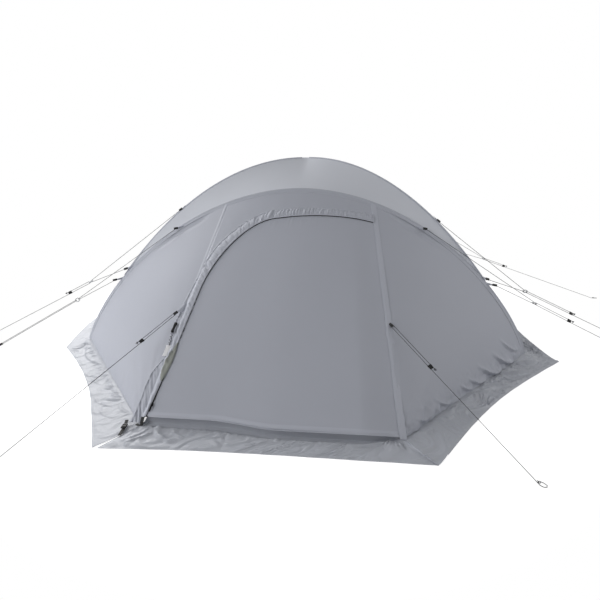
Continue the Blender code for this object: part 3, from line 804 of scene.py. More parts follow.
def make_corner_panel(side, end):
    corner = hem_corner(side, end)

    def station(u):
        return mix(HEM_REACH, RIDGE_TOP, math.sin(u**1.6 * math.pi / 2))

    def place(u, v):
        return mix(arch_line(side * station(u), end), corner, v * PANEL_STOP)

    def hem_crush(u, v):
        """Short folds that the pull of the stakes leaves along the hem, stronger at the right."""
        up = place(u, v).z
        folds = max(0.0, wave(v * 1.2 + up * 1.6, up * 0.3, 28, 0.035)) + 0.4 * wave(v * 1.2, up, 29, 0.02)
        crushed = HEM_CRUSH[side] * folds * (1 - ease(up, HEM_Z, 0.12))
        if side > 0 > end:
            crushed += named_folds((1 - v) * HEM_RUN, HEM_Z - up, PANEL_FOLDS)
        return crushed * edge_window(v, 0.5, 0.04)

    def lift(u, v):
        """Hollows that fan out of the corner, puckers down the ridge, and the dip below the arch's tie."""
        x, y = u * 1.25 * (1 - v), v * 1.2
        fan = 0.0015 * wave(u * 1.2, v * 0.25, 7 + side + end, 0.1) * ease(v, 0.3, 0.8)
        broad = 0.004 * wave(x, y, 8 + side, 0.45)
        near = ease(u, 0.9, 0.97) * (1 - ease(u, 0.985, 1.0))
        pucker = 0.003 * near * wave(x * 0.3, y, 9, 0.03) * ease(v, 0.35, 0.6)
        tie = ease(station(u), 0.4, 0.47) * (1 - ease(station(u), 0.56, 0.7))
        dip = 0.009 * math.exp(-(((v - 0.045) / 0.02) ** 2)) * tie
        return edge_window(u, v, 0.05) * (fan + broad) + pucker - dip + hem_crush(u, v)

    word = f"_{ENDS[end]}_{SIDES[side]}"
    make_panel("corner_panel", place, (side, end, 0.8), lift, word)


def end_lift(s, v):
    """Height of the end panel's billow and of the uneven puckers beside its ridges."""
    x, y = s * 0.47, v * END_HEIGHT
    near = math.exp(-(((1 - abs(s)) * 0.47) / 0.045) ** 1.3)
    loose = max(0.0, wave(x * 0.2, y, 10, 0.12) + 0.3)
    pucker = 0.008 * near * loose * wave(x * 0.5 + y * 0.3, y, 11, 0.026) * ease(v, 0.4, 0.6)
    broad = 0.005 * wave(x, y * 0.8, 12, 0.5)
    return pucker + broad * ease(1 - abs(s), 0, 0.12) * ease(v, 0, 0.1)


def hem_lip(s, v):
    """The door's hem stands out a little over its skirt."""
    reach = ease(v, 0.93, 1.0) ** 2 * ease(1 - s, 0, 0.05) * ease(s - DOOR_LEFT_FOOT, 0, 0.1)
    return Vector((0, -HEM_LIP[0] * reach, HEM_LIP[1] * reach))


def make_door():
    def spot(u, v):
        s_top, top = outline(u * TURN_PART[1])
        slant = (DOOR_LEFT_FOOT - DOOR_LEFT) * ease(-s_top, -DOOR_TURN, -DOOR_LEFT)
        return s_top + slant * v, mix(top, DOOR_FOOT, v)

    def place(u, v):
        s, depth = spot(u, v)
        return front_point(s, depth) + hem_lip(s, depth)

    def lift(u, v):
        """The panel's own shape, with short drags that hang from the zip."""
        s, depth = spot(u, v)
        drag = max(0.0, wave(s * 0.47 + 0.15 * v, v * 0.1, 14, 0.016))
        hang = 0.004 * drag * (1 - ease(v, 0.0, 0.09)) * ease(v, 0, 0.01)
        return end_lift(s, depth) * ease(v, 0, 0.1) + hang * ease(0.9 - abs(s), 0, 0.1)

    make_panel("fly_door", place, front_normal(), lift, body=DOOR)
    stations = []
    for s in even(90, DOOR_LEFT_FOOT + 0.01, DOOR_RIGHT - 0.02):
        point = front_point(s, HEM_TAPE_AT) + hem_lip(s, HEM_TAPE_AT)
        up = unit(arch_line(RIDGE_TOP * s, -1) - point)
        stations.append((point, up, -up))
    seam_strip("door_hem_tape", stations, FINISHES["seam"], FELLED, DOOR)


def brow_edge(u):
    """The brow's outer edge beside u of the door's outline: along the arch, then down the left ridge."""
    first, second = TURN_PART
    corner = first + 0.62 * (second - first)
    if u <= first:
        return mix(DOOR_RIGHT, DOOR_TURN, u / first), 0.0
    if u <= corner:
        return mix(DOOR_TURN, -1.0, (u - first) / (corner - first)), 0.0
    if u <= second:
        return -1.0, mix(0.0, DOOR_SHOULDER, (u - corner) / (second - corner))
    return -1.0, mix(DOOR_SHOULDER, DOOR_FOOT, (u - second) / (1 - second))


def make_brow():
    def place(u, v):
        inner = beside(u, 0.004)
        outer = brow_edge(u)
        return front_point(mix(outer[0], inner[0], v), mix(outer[1], inner[1], v))

    def lift(u, v):
        return 0.0012 * wave(u * 2.2, v * 0.15, 15, 0.09) * edge_window(u, v, 0.1)

    make_panel("front_brow", place, front_normal(), lift)


def flap_width(u):
    for (a, wide_a), (b, wide_b) in zip(FLAP_WIDTHS, FLAP_WIDTHS[1:]):
        if u <= b:
            return mix(wide_a, wide_b, ease(u, a, b))
    return FLAP_WIDTHS[-1][1]


def turned_back(u):
    """How far the flap's free edge is turned back at u: 0 along most of it, 1 amid one stretch."""
    low, high = ROLLED_BACK
    return math.sin(math.pi * min(1.0, max(0.0, (u - low) / (high - low))))


def flap_spot(u, v, height=0.0):
    """A point of the storm flap, from its free edge at v 0 over the zip to its sewn edge at v 1."""
    run = u * FLAP_RUN
    over = TURNED_OVER * turned_back(u) * max(0.0, 1 - v / TURNED_PART)
    free = FLAP_OVER * (1 - 0.6 * ease(u, 0.9, 1.0)) + over
    sewn = flap_width(u) + 0.0025 * wave(run, 1.0, 19, 0.03)
    s, depth = beside(u, mix(-free, sewn, v))
    return front_point(s, depth) + front_normal() * height


def flap_height(u, v):
    """The flap's height over the panel: a puffed middle, a groove and a welt at its sewn edge, and the
    gathers, which run straight across it over the door and slant more and more towards its foot."""
    run = u * FLAP_RUN
    lean = mix(0.2, 2.2, ease(u, 0.55, 0.85))
    slant = run + lean * flap_width(u) * v
    strength = 0.45 + 0.9 * abs(wave(run, 0.0, 17, 0.11))
    folds = wave(slant, v * 0.015, 16, 0.019) + 0.4 * wave(slant, v * 0.02, 18, 0.009)
    puffed = PUFF * math.sin(math.pi * min(1.0, 0.12 + v * 1.1)) ** 0.7
    welt = WELT * math.exp(-(((v - 0.93) / 0.05) ** 2))
    rim = WELT * math.exp(-(((v - 0.06) / 0.05) ** 2))
    roll = turned_back(u) * 0.005 * math.exp(-(((v - TURNED_PART) / 0.07) ** 2))
    room = ease(v, 0.0, 0.2) * ease(1 - v, 0, 0.15)
    return FLAP_LOWEST + puffed + welt + rim + roll + GATHER * strength * folds * room


def make_flap():
    """The storm flap: gathered at its sewn edge, free along the zip, turned back near its foot."""

    def place(u, v):
        return flap_spot(u, v, max(0.0015, flap_height(u, v) * ease(1 - v, 0, 0.08)))

    size = (FLAP_RUN, 0.07)
    piece = cloth("storm_flap_cloth", place, 900, 22, size, front_normal())
    finish_piece(piece, FINISHES["fly"], TENT, ["storm_flap"])
    # The turned-back stretch shows the coated back, whose colour is partly painted shade.
    piece.data.materials.append(FINISHES["coating"])
    layer = piece.data.uv_layers[0].data
    for face in piece.data.polygons:
        spot = layer[face.loop_start].uv
        if spot.y / size[1] < TURNED_PART * turned_back(spot.x / size[0]) ** 0.5 - 0.02:
            face.material_index = 1


def make_toggle():
    """What ties the rolled-back door up: a barrel toggle on elastic, and a pale ribbon to pull."""
    low, high, out = TOGGLE_AT
    a, b = (beside(u, out) for u in (low, high))
    normal = front_normal()
    top, foot = (front_point(*spot) + normal * TOGGLE_HIGH for spot in (a, b))
    bpy.ops.object.select_all(action="DESELECT")
    bpy.ops.mesh.primitive_uv_sphere_add(segments=20, ring_count=14, radius=1)
    barrel = bpy.context.object
    half = (top - foot).length * 0.62
    for vertex in barrel.data.vertices:
        x, y, z = vertex.co
        full = max(1e-6, math.hypot(x, y))
        girth = TOGGLE_GIRTH * min(1.0, full * 1.9) * (1 - 0.16 * math.exp(-((z / 0.3) ** 2)))
        vertex.co = (math.copysign(abs(z) ** 0.8, z) * half, x / full * girth, y / full * girth)
    barrel.name = "flap_toggle"
    put(barrel, mix(top, foot, 0.5), foot - top, normal)
    finish_piece(barrel, FINISHES["plastic"], TENT)
    start_u, end_u, reach = RIBBON_AT
    end = flap_spot(start_u, reach / flap_width(start_u), 0.017)
    line = []
    for part in even(41):
        swing = 0.0045 * math.sin(part * math.pi * 9) * math.sin(part * math.pi) ** 0.5
        point = mix(foot, end, part) + Vector((swing, 0, 0)) + normal * 0.002 * math.sin(part * math.pi * 5)
        line.append(point)
    elastic = tube("toggle_elastic", line, ELASTIC / 2, FINISHES["cord"])

    def place(u, v):
        at = flap_spot(mix(start_u, end_u, u), reach / flap_width(end_u), TOGGLE_HIGH)
        curl = 0.004 * wave(u * 0.04, v * 0.02, 41, 0.013)
        return at + Vector((RIBBON_SIZE[1] * (v - 0.5), 0, 0)) + normal * curl

    pull = cloth("toggle_ribbon", place, 16, 8, RIBBON_SIZE, normal, wall=0.0007)
    finish_piece(pull, FINISHES["ribbon"], TENT)
    declare_cord(line, ELASTIC)


def make_rear_panel():
    def place(u, v):
        return front_point(mix(-1, 1, u), v, 1)

    def lift(u, v):
        return end_lift(mix(-1, 1, u), v) * ease(v, 0, 0.1) * ease(1 - v, 0, 0.04)

    make_panel("rear_panel", place, front_normal(1), lift)


# Seams. A section lists each point's panel, how far it is from the seam in half seam widths, and how high

FELLED = (
    (-1, 1.0, 0.0006),
    (-1, 0.92, 0.0022),
    (-1, 0.3, 0.0026),
    (1, 0.0, 0.003),
    (1, 0.3, 0.0026),
    (1, 0.92, 0.0022),
    (1, 1.0, 0.0006),
)
FLANGED = FELLED[:5] + ((1, 2.2, 0.0022), (1, 2.3, 0.0006))
SLEEVE = (
    (-1, 0.9, 0.0006),
    (-1, 0.75, 0.0024),
    (-1, 0.4, 0.0045),
    (1, 0.0, 0.0056),
    (1, 0.5, 0.0048),
    (1, 0.95, 0.003),
    (1, 1.4, 0.0021),
    (1, 3.0, 0.0018),
    (1, 3.1, 0.0006),
)


def seam_strip(name, stations, finish, section=FELLED, body=TENT):
    """A seam's raised band: stations hold a point of the seam and unit vectors into the panels beside it."""
    width = bpy.context.scene.tent_sizes.seam_width / 2
    count = len(stations)
    last = len(section) - 1
    facing = Vector()
    rows = []
    for k, (point, a, b) in enumerate(stations):
        before, after = stations[max(0, k - 1)][0], stations[min(count - 1, k + 1)][0]
        tangent = unit(after - before)
        inside = Vector((0, point.y * 0.3, 0.2))
        normals = {}
        for hand, arm in ((-1, a), (1, b)):
            normal = unit(tangent.cross(arm))
            normals[hand] = normal if normal.dot(point - inside) > 0 else -normal
        facing += normals[-1] + normals[1]
        arms = {-1: a, 1: b}
        row = []
        for hand, reach, height in section:
            up = normals[hand] if reach else unit(normals[-1] + normals[1])
            row.append(point + arms[hand] * width * reach + up * height)
        rows.append(row)

    def place(u, v):
        return rows[round(u * (count - 1))][round(v * last)]

    length = path_length([point for point, _, _ in stations])
    breadth = (section[0][1] + section[-1][1]) * width
    piece = cloth(name, place, count - 1, last, (length, breadth), facing, wall=0.0006)
    finish_piece(piece, finish, body)


def arch_inward(t, end):
    """Direction on the fly from the arch seam down into the panel below it."""
    if abs(t) < RIDGE_TOP:
        return unit(end_foot(t / RIDGE_TOP, end) - arch_line(t, end))
    return unit(hem_corner(math.copysign(1, t), end) - arch_line(t, end))


def seam_arch(end):
    stations = []
    for u in even(121):
        t = HEM_REACH * spread_out(u)
        point = arch_line(t, end)
        away = roof_seam(t, end) - point
        if away.length < 0.01:
            away = Vector((0, -end, 0.1))
        stations.append((point, unit(away), arch_inward(t, end)))
    seam_strip(f"sleeve_arch_{ENDS[end]}", stations, FINISHES["fly"], SLEEVE)


def seam_ridge(side, end):
    """The seam down a ridge. It wanders a little near its foot."""
    top, flank = (arch_line(side * t, end) for t in (RIDGE_TOP, RIDGE_TOP + 0.03))
    corner = hem_corner(side, end)
    stations = []
    for v in even(161):
        point = mix(top, corner, v)
        into_end = unit(front_point(side * 0.9, v, end) - front_point(side, v, end))
        into_side = unit(mix(flank, corner, v) - point)
        wander = 0.005 * wave(v * 1.25, side, 33, 0.035) * ease(v, 0.45, 0.6) * ease(1 - v, 0, 0.1)
        stations.append((point + into_end * wander, into_end, into_side))
    section = FELLED if side < 0 else FLANGED
    # The seam finish is painted lighter: a painted highlight down the ridge.
    seam_strip(f"seam_ridge_{ENDS[end]}_{SIDES[side]}", stations, FINISHES["seam"], section)


def seam_long(side, end):
    stations = []
    for u in even(61, 0.012, 0.62):
        t = side * math.sin(u * math.pi / 2)
        point = long_line(t, end)
        over = Vector((point.x, -point.y, point.z))
        stations.append((point, unit(arch_line(t, end) - point), unit(over - point)))
    seam_strip(f"seam_long_{ENDS[end]}_{SIDES[side]}", stations, FINISHES["seam"])


def make_seams():
    for end in ENDS:
        seam_arch(end)
        for side in SIDES:
            seam_ridge(side, end)
            seam_long(side, end)


# Snow skirts


def skirt_corner(side, end):
    foot = arch_line(side * HEM_REACH, end)
    out, beyond = CORNER_OUT[side]
    return foot, Vector((side * (HALF_WIDTH + out), end * (HALF_DEPTH + beyond), 0))


def end_corner(side, end):
    out = SKIRT_WIDTH - side * SKIRT_SKEW
    return hem_corner(side, end), Vector((side * (HEM_HALF + FRONT_OUT), end * (HEM_Y + out), 0))


def skirt_crumple(x, y, seed, lean, depth):
    """Height of a skirt's crumples, x metres along it and y out from the hem: soft ones that lean by an
    angle, and short puckers that run out from the stitching of the hem."""
    lean += 0.9 * wave(x, y, seed + 4, 0.12)
    a = x * math.cos(lean) + y * math.sin(lean)
    b = y * math.cos(lean) - x * math.sin(lean)
    loose = 0.3 + 1.2 * abs(wave(x, 0.0, seed + 3, 0.25))
    long = wave(a / 2.8, b, seed, 0.045)
    fine = wave(a / 1.6, b, seed + 1, 0.018)
    pucker = max(0.0, wave(x - y * 0.8, y * 0.2, seed + 5, 0.017)) * (1 - ease(y, 0.02, 0.07))
    crumples = 0.004 + 0.012 * loose * long + 0.003 * fine
    return depth * (ease(y, 0.0, 0.03) * crumples + 0.009 * ease(y, 0.0, 0.012) * pucker)


def named_folds(x, y, folds):
    """Height of the single folds at x along the hem and y out from it. A fold tapers at both ends, bows
    outwards and is steeper on its outer side."""
    height = 0.0
    for x0, y0, x1, y1, width, high in folds:
        along = Vector((x1 - x0, y1 - y0))
        part = ((x - x0) * along.x + (y - y0) * along.y) / along.length_squared
        if 0 < part < 1:
            out = ((y - y0) * along.x - (x - x0) * along.y) / along.length * math.copysign(1, along.x)
            out -= FOLD_BOW * along.length * math.sin(math.pi * part)
            reach = width * (FOLD_STEEP if out > 0 else 1.0)
            height += high * math.sin(math.pi * part) ** 0.7 * math.exp(-((out / reach) ** 2))
    return height


def skirt_section(f, high, width, tuck):
    """How far out from the hem a skirt lies at f across it, how high, and how far it is out on open ground. A
    tucked one starts behind the hem, drops to the ground there and comes out under it."""
    down, under = TUCK_PARTS
    out = mix(-BEHIND_HEM, width, f ** 1.15)
    plain = (out, (high - BELOW_HEM) * max(0.0, 1 - max(0.0, out) / width * 1.7) ** 2)
    if f < down:
        tucked = (mix(-TUCK_START, -TUCK_BACK, f / down), (high + 0.008) * (1 - f / down))
    elif f < under:
        tucked = (mix(-TUCK_BACK, 0.004, (f - down) / (under - down)), 0.0)
    else:
        tucked = (mix(0.004, width, (f - under) / (1 - under)), 0.0)
    reach = mix(plain[0], tucked[0], tuck)
    return reach, mix(plain[1], tucked[1], tuck), max(0.0, reach)


def settled(height):
    """A height that the ground holds up: cloth that would sink into it lies flat, with no sharp break."""
    return GROUND_GAP + (height + math.hypot(height, SETTLE)) / 2


def make_skirt_run(node, corners, scallops, look, body, folds=(0, ())):
    """One skirt over several stretches. corners lists (hem point, ground point, tuck), scallops how deep and
    how round each stretch's edge is hollowed. look holds the crumples' seed, lean and depth and the corner
    whose seam stands up in a lip. folds holds a stretch and the single folds on it. A stretch along an end
    panel follows its lifted hem."""
    seed, lean, depth, lip_at = look
    fold_stretch, single_folds = folds
    depth *= bpy.context.scene.tent_sizes.fold_depth
    ends = [(b[0] - a[0]).length for a, b in zip(corners, corners[1:])]
    ends = [max(length, (b[1] - a[1]).length * 0.8) for length, a, b in zip(ends, corners, corners[1:])]
    total = sum(ends)

    def find(u):
        left = u * total
        for k, length in enumerate(ends):
            if left <= length or k == len(ends) - 1:
                return k, min(1.0, left / length)
            left -= length

    def place(u, f):
        which, k = find(u)
        (top_a, foot_a, tuck_a), (top_b, foot_b, tuck_b) = corners[which], corners[which + 1]
        top, foot, tuck = mix(top_a, top_b, k), mix(foot_a, foot_b, k), mix(tuck_a, tuck_b, k)
        if abs(top_a.y - top_b.y) < 1e-6:
            top += hem_shift(top.x / HEM_HALF, math.copysign(1, top.y))
        x = u * total
        away = foot - top
        away.z = 0
        deep, power = scallops[which]
        bow = deep * math.sin(math.pi * k) ** power + 0.002 * wave(x, 0, seed + 6, 0.08)
        width = away.length - bow
        reach, high, open_ground = skirt_section(f, top.z, width, tuck)
        near_end = ease(min(x, total - x), 0, 0.03)
        spring = 0.006 * tuck * math.sin(math.pi * min(1.0, open_ground / 0.06))
        past = x - sum(ends[:lip_at]) if lip_at else -1.0
        over = math.exp(-past / MITRE_FALL) if past > 0 else math.exp(-((past / 0.003) ** 2))
        mitre = MITRE_HIGH * over * ease(f, 0.1, 0.3)
        fold = skirt_crumple(x, open_ground, seed, lean, depth) + spring + mitre
        if which == fold_stretch:
            fold += named_folds(x - sum(ends[:which]), open_ground, single_folds) * depth
        fold *= ease(1 - f, 0, 0.07) if mitre < 0.001 else 1.0
        point = top + unit(away) * reach
        if past > 0:
            point -= unit(foot_b - foot_a) * MITRE_LEAN * math.exp(-((past / 0.005) ** 2)) * ease(f, 0.1, 0.3)
        point.z = settled(high + fold * near_end * ease(open_ground, 0.0, 0.02))
        return point

    piece = cloth(f"{node}_cloth", place, max(60, int(total / SKIRT_STEP)), 38, (total, 0.18), (0, 0, 1))
    finish_piece(piece, FINISHES["skirt"], body, [node])
    return piece, total


def make_side_skirt(side):
    """A side skirt, from front to rear round both pole feet. The right one starts under the door's."""
    places = (end_corner(side, -1), skirt_corner(side, -1), skirt_corner(side, 1), end_corner(side, 1))
    corners = [(*place, 0.0) for place in places]
    scallops = [(SCALLOP, 1.0), SIDE_SCALLOPS[side], (SCALLOP, 1.0)]
    look = (20 + side, 0.9, 0.6, 0)
    folds = (0, LEFT_FOLDS)
    if side > 0:
        cut_x = (CUT_TOP - UNDERLAP, CUT_FOOT - UNDERLAP)
        corners.insert(0, (*cut_line(cut_x, -0.002), 1.0))
        scallops.insert(0, (0.0, 1.0))
        look = (20 + side, 0.3, 1.1, 1)
        folds = (1, RIGHT_FOLDS)
    piece, total = make_skirt_run(f"{SIDES[side]}_skirt", corners, scallops, look, TENT, folds)


def make_end_skirts():
    """The door's skirt, cut from the right one on a slant, and the rear one."""
    scallops = [(END_SCALLOP, 1.0)]
    top, foot = end_corner(-1, -1)
    left = (top + Vector((LEFT_GAP[0], 0, 0)), foot + Vector((LEFT_GAP[1], 0, 0)), 0.55)
    corners = [left, (*cut_line((CUT_TOP, CUT_FOOT), 0.0), 1.0)]
    piece, total = make_skirt_run("door_skirt", corners, scallops, (24, 0.8, 0.9, 0), DOOR, (0, DOOR_FOLDS))
    corners = [(*end_corner(side, 1), 0.5) for side in (1, -1)]
    piece, total = make_skirt_run("rear_skirt", corners, scallops, (27, 0.7, 1.0, 0), TENT)


def cut_line(across, drop):
    """Hem and ground ends of the slanting cut between the door's skirt and the right one."""
    _, foot = end_corner(1, -1)
    top_x, foot_x = across
    return Vector((top_x, -HEM_Y, CORNER_Z + drop)), Vector((foot_x, foot.y, 0))


def ribbon(name, points, width, facing):
    """A strip of webbing whose middle runs through the points."""
    last = len(points) - 1

    def place(u, v):
        k = min(last - 1, int(u * last))
        along = unit(points[k + 1] - points[k])
        return mix(points[k], points[k + 1], u * last - k) + unit(along.cross(facing)) * width * (v - 0.5)

    strip = cloth(name, place, last * 6, 2, (0.04 * last, width), facing, wall=0.0016)
    finish_piece(strip, FINISHES["trim"], TENT)


def make_foot_straps():
    """The tab that holds the flap's foot down, and the buckled strap that draws the left skirt out."""
    width = bpy.context.scene.tent_sizes.webbing_width
    up = Vector((0, 0, 1))
    straps = (
        ("flap_foot_tab", FLAP_TAB_PATH, Vector((0, -1, 0.6))),
        ("flap_foot_loop", FLAP_LOOP_PATH, up),
        ("skirt_strap", SKIRT_STRAP_PATH, up),
    )
    for name, path, facing in straps:
        ribbon(name, [Vector(point) for point in path], width, facing)
    middle, after = (Vector(point) for point in SKIRT_STRAP_PATH[1:3])
    buckle = block("skirt_buckle", (0.026, 0.02, 0.006), 0.002, 3)
    for side in SIDES:
        slot = block("slot", (0.004, 0.0145, 0.02), 0.0005)
        nudge(slot, side * 0.006, 0, 0)
        drill(buckle, slot)
    put(buckle, middle + up * 0.006, after - middle, up)
    finish_piece(buckle, FINISHES["plastic"], TENT)


# The zip


def make_zip():
    """Two halves of a coil zip round the door, one on each side of the slit."""
    normal = front_normal()
    for word, near, far, _, high in ZIP_HALVES:

        def place(u, v, near=near, far=far, high=high):
            return front_point(*beside(u, mix(near, far, v))) + normal * high

        tape = cloth(f"zip_tape_{word}", place, 260, 3, (ZIP_RUN, 0.01), normal, wall=0.0005)
        finish_piece(tape, FINISHES["trim"], word)
    for word, _, _, at, _ in ZIP_HALVES:

        def lay(u, v, at=at):
            s, depth = beside(mix(0.015, 1.0, u), at + 0.0017 * math.cos(v * math.pi))
            return front_point(s, depth) + normal * (0.0032 + 0.0014 * math.sin(v * math.pi))

        coil = cloth(f"zip_coil_{word}", lay, 300, 4, (ZIP_RUN, 0.005), normal, wall=0.0004)
        finish_piece(coil, FINISHES["coil"], word)


def make_slider():
    """The slider: a body with a nose, a bridge and a flat pull."""
    low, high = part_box("zip_slider")
    up = unit(front_point(DOOR_LEFT, DOOR_SHOULDER) - front_point(DOOR_LEFT_FOOT, DOOR_FOOT))
    body = block("slider_body", SLIDER_BODY, 0.0015, 3)
    for vertex in body.data.vertices:
        if vertex.co.x > 0:
            vertex.co.y *= 0.72
    bridge = block("slider_bridge", SLIDER_BRIDGE, 0.001)
    nudge(bridge, 0, 0, 0.0032)
    pull = block("slider_pull", SLIDER_PULL, 0.0005)
    nudge(pull, -0.014, 0, 0.0036)
    piece = joined("zip_slider_body", [body, bridge, pull])
    put(piece, (low + high) / 2, up, front_normal())
    finish_piece(piece, FINISHES["metal"], "zip_slider", ["zip_slider"])


# The inner tent


def inner_width(z):
    reach = (1.0 - (z / (APEX * INNER_SCALE)) ** LONG_BEND[1]) ** (1.0 / LONG_BEND[0])
    return min(INNER_FLOOR[0], HALF_WIDTH * INNER_SCALE * reach)


def inner_half(z):
    half_depth = INNER_FLOOR[1] - INNER_WALL_LEAN * min(z, INNER_FLAT_TOP)
    if z > INNER_FLAT_TOP:
        half_depth *= inner_width(z) / inner_width(INNER_FLAT_TOP)
    return inner_width(z), half_depth


def inner_loop(u, z):
    """A point of the inner tent at height z, once round from the middle of its rear wall."""
    half_x, half_y = inner_half(z)
    lengths = (half_x, 2 * half_y, 2 * half_x, 2 * half_y, half_x)
    ends = ((0, half_y), (-half_x, half_y), (-half_x, -half_y), (half_x, -half_y), (half_x, half_y), (0, half_y))
    left = u * sum(lengths)
    for k, length in enumerate(lengths):
        if left <= length or k == len(lengths) - 1:
            part = min(1.0, left / length)
            return Vector((mix(ends[k][0], ends[k + 1][0], part), mix(ends[k][1], ends[k + 1][1], part), z))
        left -= length


def door_half(z):
    return INNER_DOOR_HALF * (1 - INNER_DOOR_TAPER * z)


def make_inner_canopy():
    """The breathable walls and roof in one cloth, with the doorway cut out of the front wall."""

    def place(u, v):
        if v < CANOPY_TOP:
            return inner_loop(u, mix(TUB_HIGH, INNER_CROWN, v / CANOPY_TOP))
        shrink = 1 - (v - CANOPY_TOP) / (1 - CANOPY_TOP) * 0.97
        point = inner_loop(u, INNER_CROWN)
        return Vector((point.x * shrink, point.y * shrink, INNER_CROWN + 0.004 * (1 - shrink)))

    def in_doorway(spot):
        x, y, z = spot
        _, half_y = inner_half(min(z, INNER_CROWN))
        return abs(x) < door_half(z) and INNER_DOOR_LOW < z < INNER_DOOR_HIGH and y < -half_y + 0.02

    piece = cloth("inner_canopy_cloth", place, 200, 48, (4.6, 1.2), (0, 0, 1), wall=0.0008, hole=in_doorway)
    finish_piece(piece, FINISHES["inner"], TENT, ["inner_tent"])


def make_inner_door():
    def place(u, v):
        z = mix(INNER_DOOR_LOW, INNER_DOOR_HIGH, v)
        _, half_y = inner_half(z)
        half = door_half(z) - INNER_DOOR_GAP
        return Vector((mix(-half, half, u), -half_y - 0.001, z))

    def lift(u, v):
        return 0.006 * math.sin(math.pi * u) * math.sin(math.pi * v) + 0.002 * wave(u, v, 31, 0.15)

    piece = cloth("inner_door_cloth", place, 40, 40, (0.75, 0.62), (0, -1, 0.3), lift)
    finish_piece(piece, FINISHES["inner"], "inner_door", ["inner_door"])
    piece.data.materials.append(FINISHES["net"])
    for face in piece.data.polygons:
        x, _, z = face.center
        if NET_FROM < z < INNER_DOOR_HIGH - NET_MARGIN[1] and abs(x) < door_half(z) - NET_MARGIN[0]:
            face.material_index = 1


def make_inner_trim():
    """Bound edge of the inner doorway."""
    points = []
    for k in even(25):
        z = mix(INNER_DOOR_LOW - INNER_DOOR_GAP, INNER_DOOR_HIGH + INNER_DOOR_GAP, k)
        points.append(Vector((-door_half(z) - INNER_DOOR_GAP, -inner_half(z)[1] - 0.002, z)))
    points += [Vector((-p.x, p.y, p.z)) for p in reversed(points)]
    points.append(points[0])
    tube("inner_doorway_binding", points, BINDING, FINISHES["trim"])


def make_groundsheet():
    wide, deep = INNER_FLOOR

    def fold(a, reach):
        """Where a strip of the sheet lies: flat floor first, then up the tub's wall."""
        flat = 0.9
        k = min(1.0, abs(a) / flat)
        up = max(0.0, (abs(a) - flat) / (1 - flat))
        return math.copysign(k * reach, a), up

    def place(u, v):
        x, up_x = fold(mix(-1, 1, u), wide)
        y, up_y = fold(mix(-1, 1, v), deep)
        up = max(up_x, up_y) * TUB_HIGH
        x -= math.copysign(0.01, x) * up_x
        y -= math.copysign(INNER_WALL_LEAN * up, y) * up_y
        return Vector((x, y, up + 0.0004))

    def lift(u, v):
        return 0.003 * crease(u * 2.2, v * 1.2, 33, 0.09) * edge_window(u, v, 0.12)

    piece = cloth("groundsheet_cloth", place, 110, 70, (2.45, 1.45), (0, 0, 1), lift, wall=0.001)
    finish_piece(piece, FINISHES["groundsheet"], TENT, ["groundsheet_tub"])


# Guy lines


def stake_loop(end, along, across):
    flat = unit(Vector((along.x, along.y, 0)))
    side = Vector((-flat.y, flat.x, 0))
    if side.dot(across) < 0:
        side = -side
    return [end + flat * u + side * w for u, w in STAKE_LOOP]


def knot(name, centre, along, up):
    """A small overhand knot: one cord wound through itself."""
    x = unit(along)
    z = unit(up - x * up.dot(x))
    y = z.cross(x)
    points = []
    for k in range(31):
        a = 2 * math.pi * k / 30
        across = math.sin(a) + 1.6 * math.sin(2 * a)
        aside = math.cos(a) - 1.6 * math.cos(2 * a)
        p = Vector((across * 0.5, aside * 0.5, -math.sin(3 * a) * 0.7)) * KNOT_SIZE
        points.append(centre + x * p.x + y * p.y + z * p.z)
    return tube(name, points, KNOT_CORD, FINISHES["cord"])


def make_runner(name, centre, along, across, square):
    """A moulded line runner: wide where its two strands enter, narrow towards the stake, with two holes."""
    bar = block("runner_" + name, BAR, 0.002, 3)
    for vertex in bar.data.vertices:
        if vertex.co.x > 0:
            vertex.co.y *= 0.84
    for side in SIDES:
        bpy.ops.mesh.primitive_cylinder_add(
            vertices=16, radius=0.0018, depth=0.06, location=(0, side * TURN, 0), rotation=(0, math.pi / 2, 0)
        )
        drill(bar, bpy.context.object)
    put_on_axes(bar, centre, along, across, square)
    node = "tensioner_" + name
    finish_piece(bar, FINISHES["plastic"], node, [node])
    return bar


def main_line(name, start, anchor, tension_at, across, square, along):
    """A line from its tie or ring at start: down to the stake, with a tail back through its runner."""
    up = Vector((0, 0, 1))
    diameter = bpy.context.scene.tent_sizes.cord_diameter
    radius = diameter / 2
    bar_at = (anchor - start).length * tension_at
    tail_end = bar_at + BAR[0] / 2 + TAIL
    points = [start + along * mix(tail_end, 0.006, k) + across * TURN for k in even(12)]
    for k in even(9):
        angle = math.pi * k
        points.append(start - along * TURN * math.sin(angle) + across * TURN * math.cos(angle))
    points += [start + along * mix(0.006, tail_end, k) - across * TURN for k in even(6)]
    flat = unit(Vector((along.x, along.y, 0)))
    last = anchor - across * TURN
    last.z = radius + 0.0004
    points += ruled(points[-1], last - flat * BEHIND_LOOP, 10)[1:]
    points += stake_loop(last, along, across)
    line = tube("cord_" + name, points, radius, FINISHES["cord"])
    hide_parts("guy_" + name)
    runner = make_runner(name, start + along * bar_at, along, across, square)
    tail_knot = knot("tail_knot_" + name, points[0] + along * 0.002, along, square)
    loop_knot = knot("loop_knot_" + name, last + flat * STAKE_LOOP[0][0] + up * 0.001, flat, up)
    declare_cord(points, diameter)


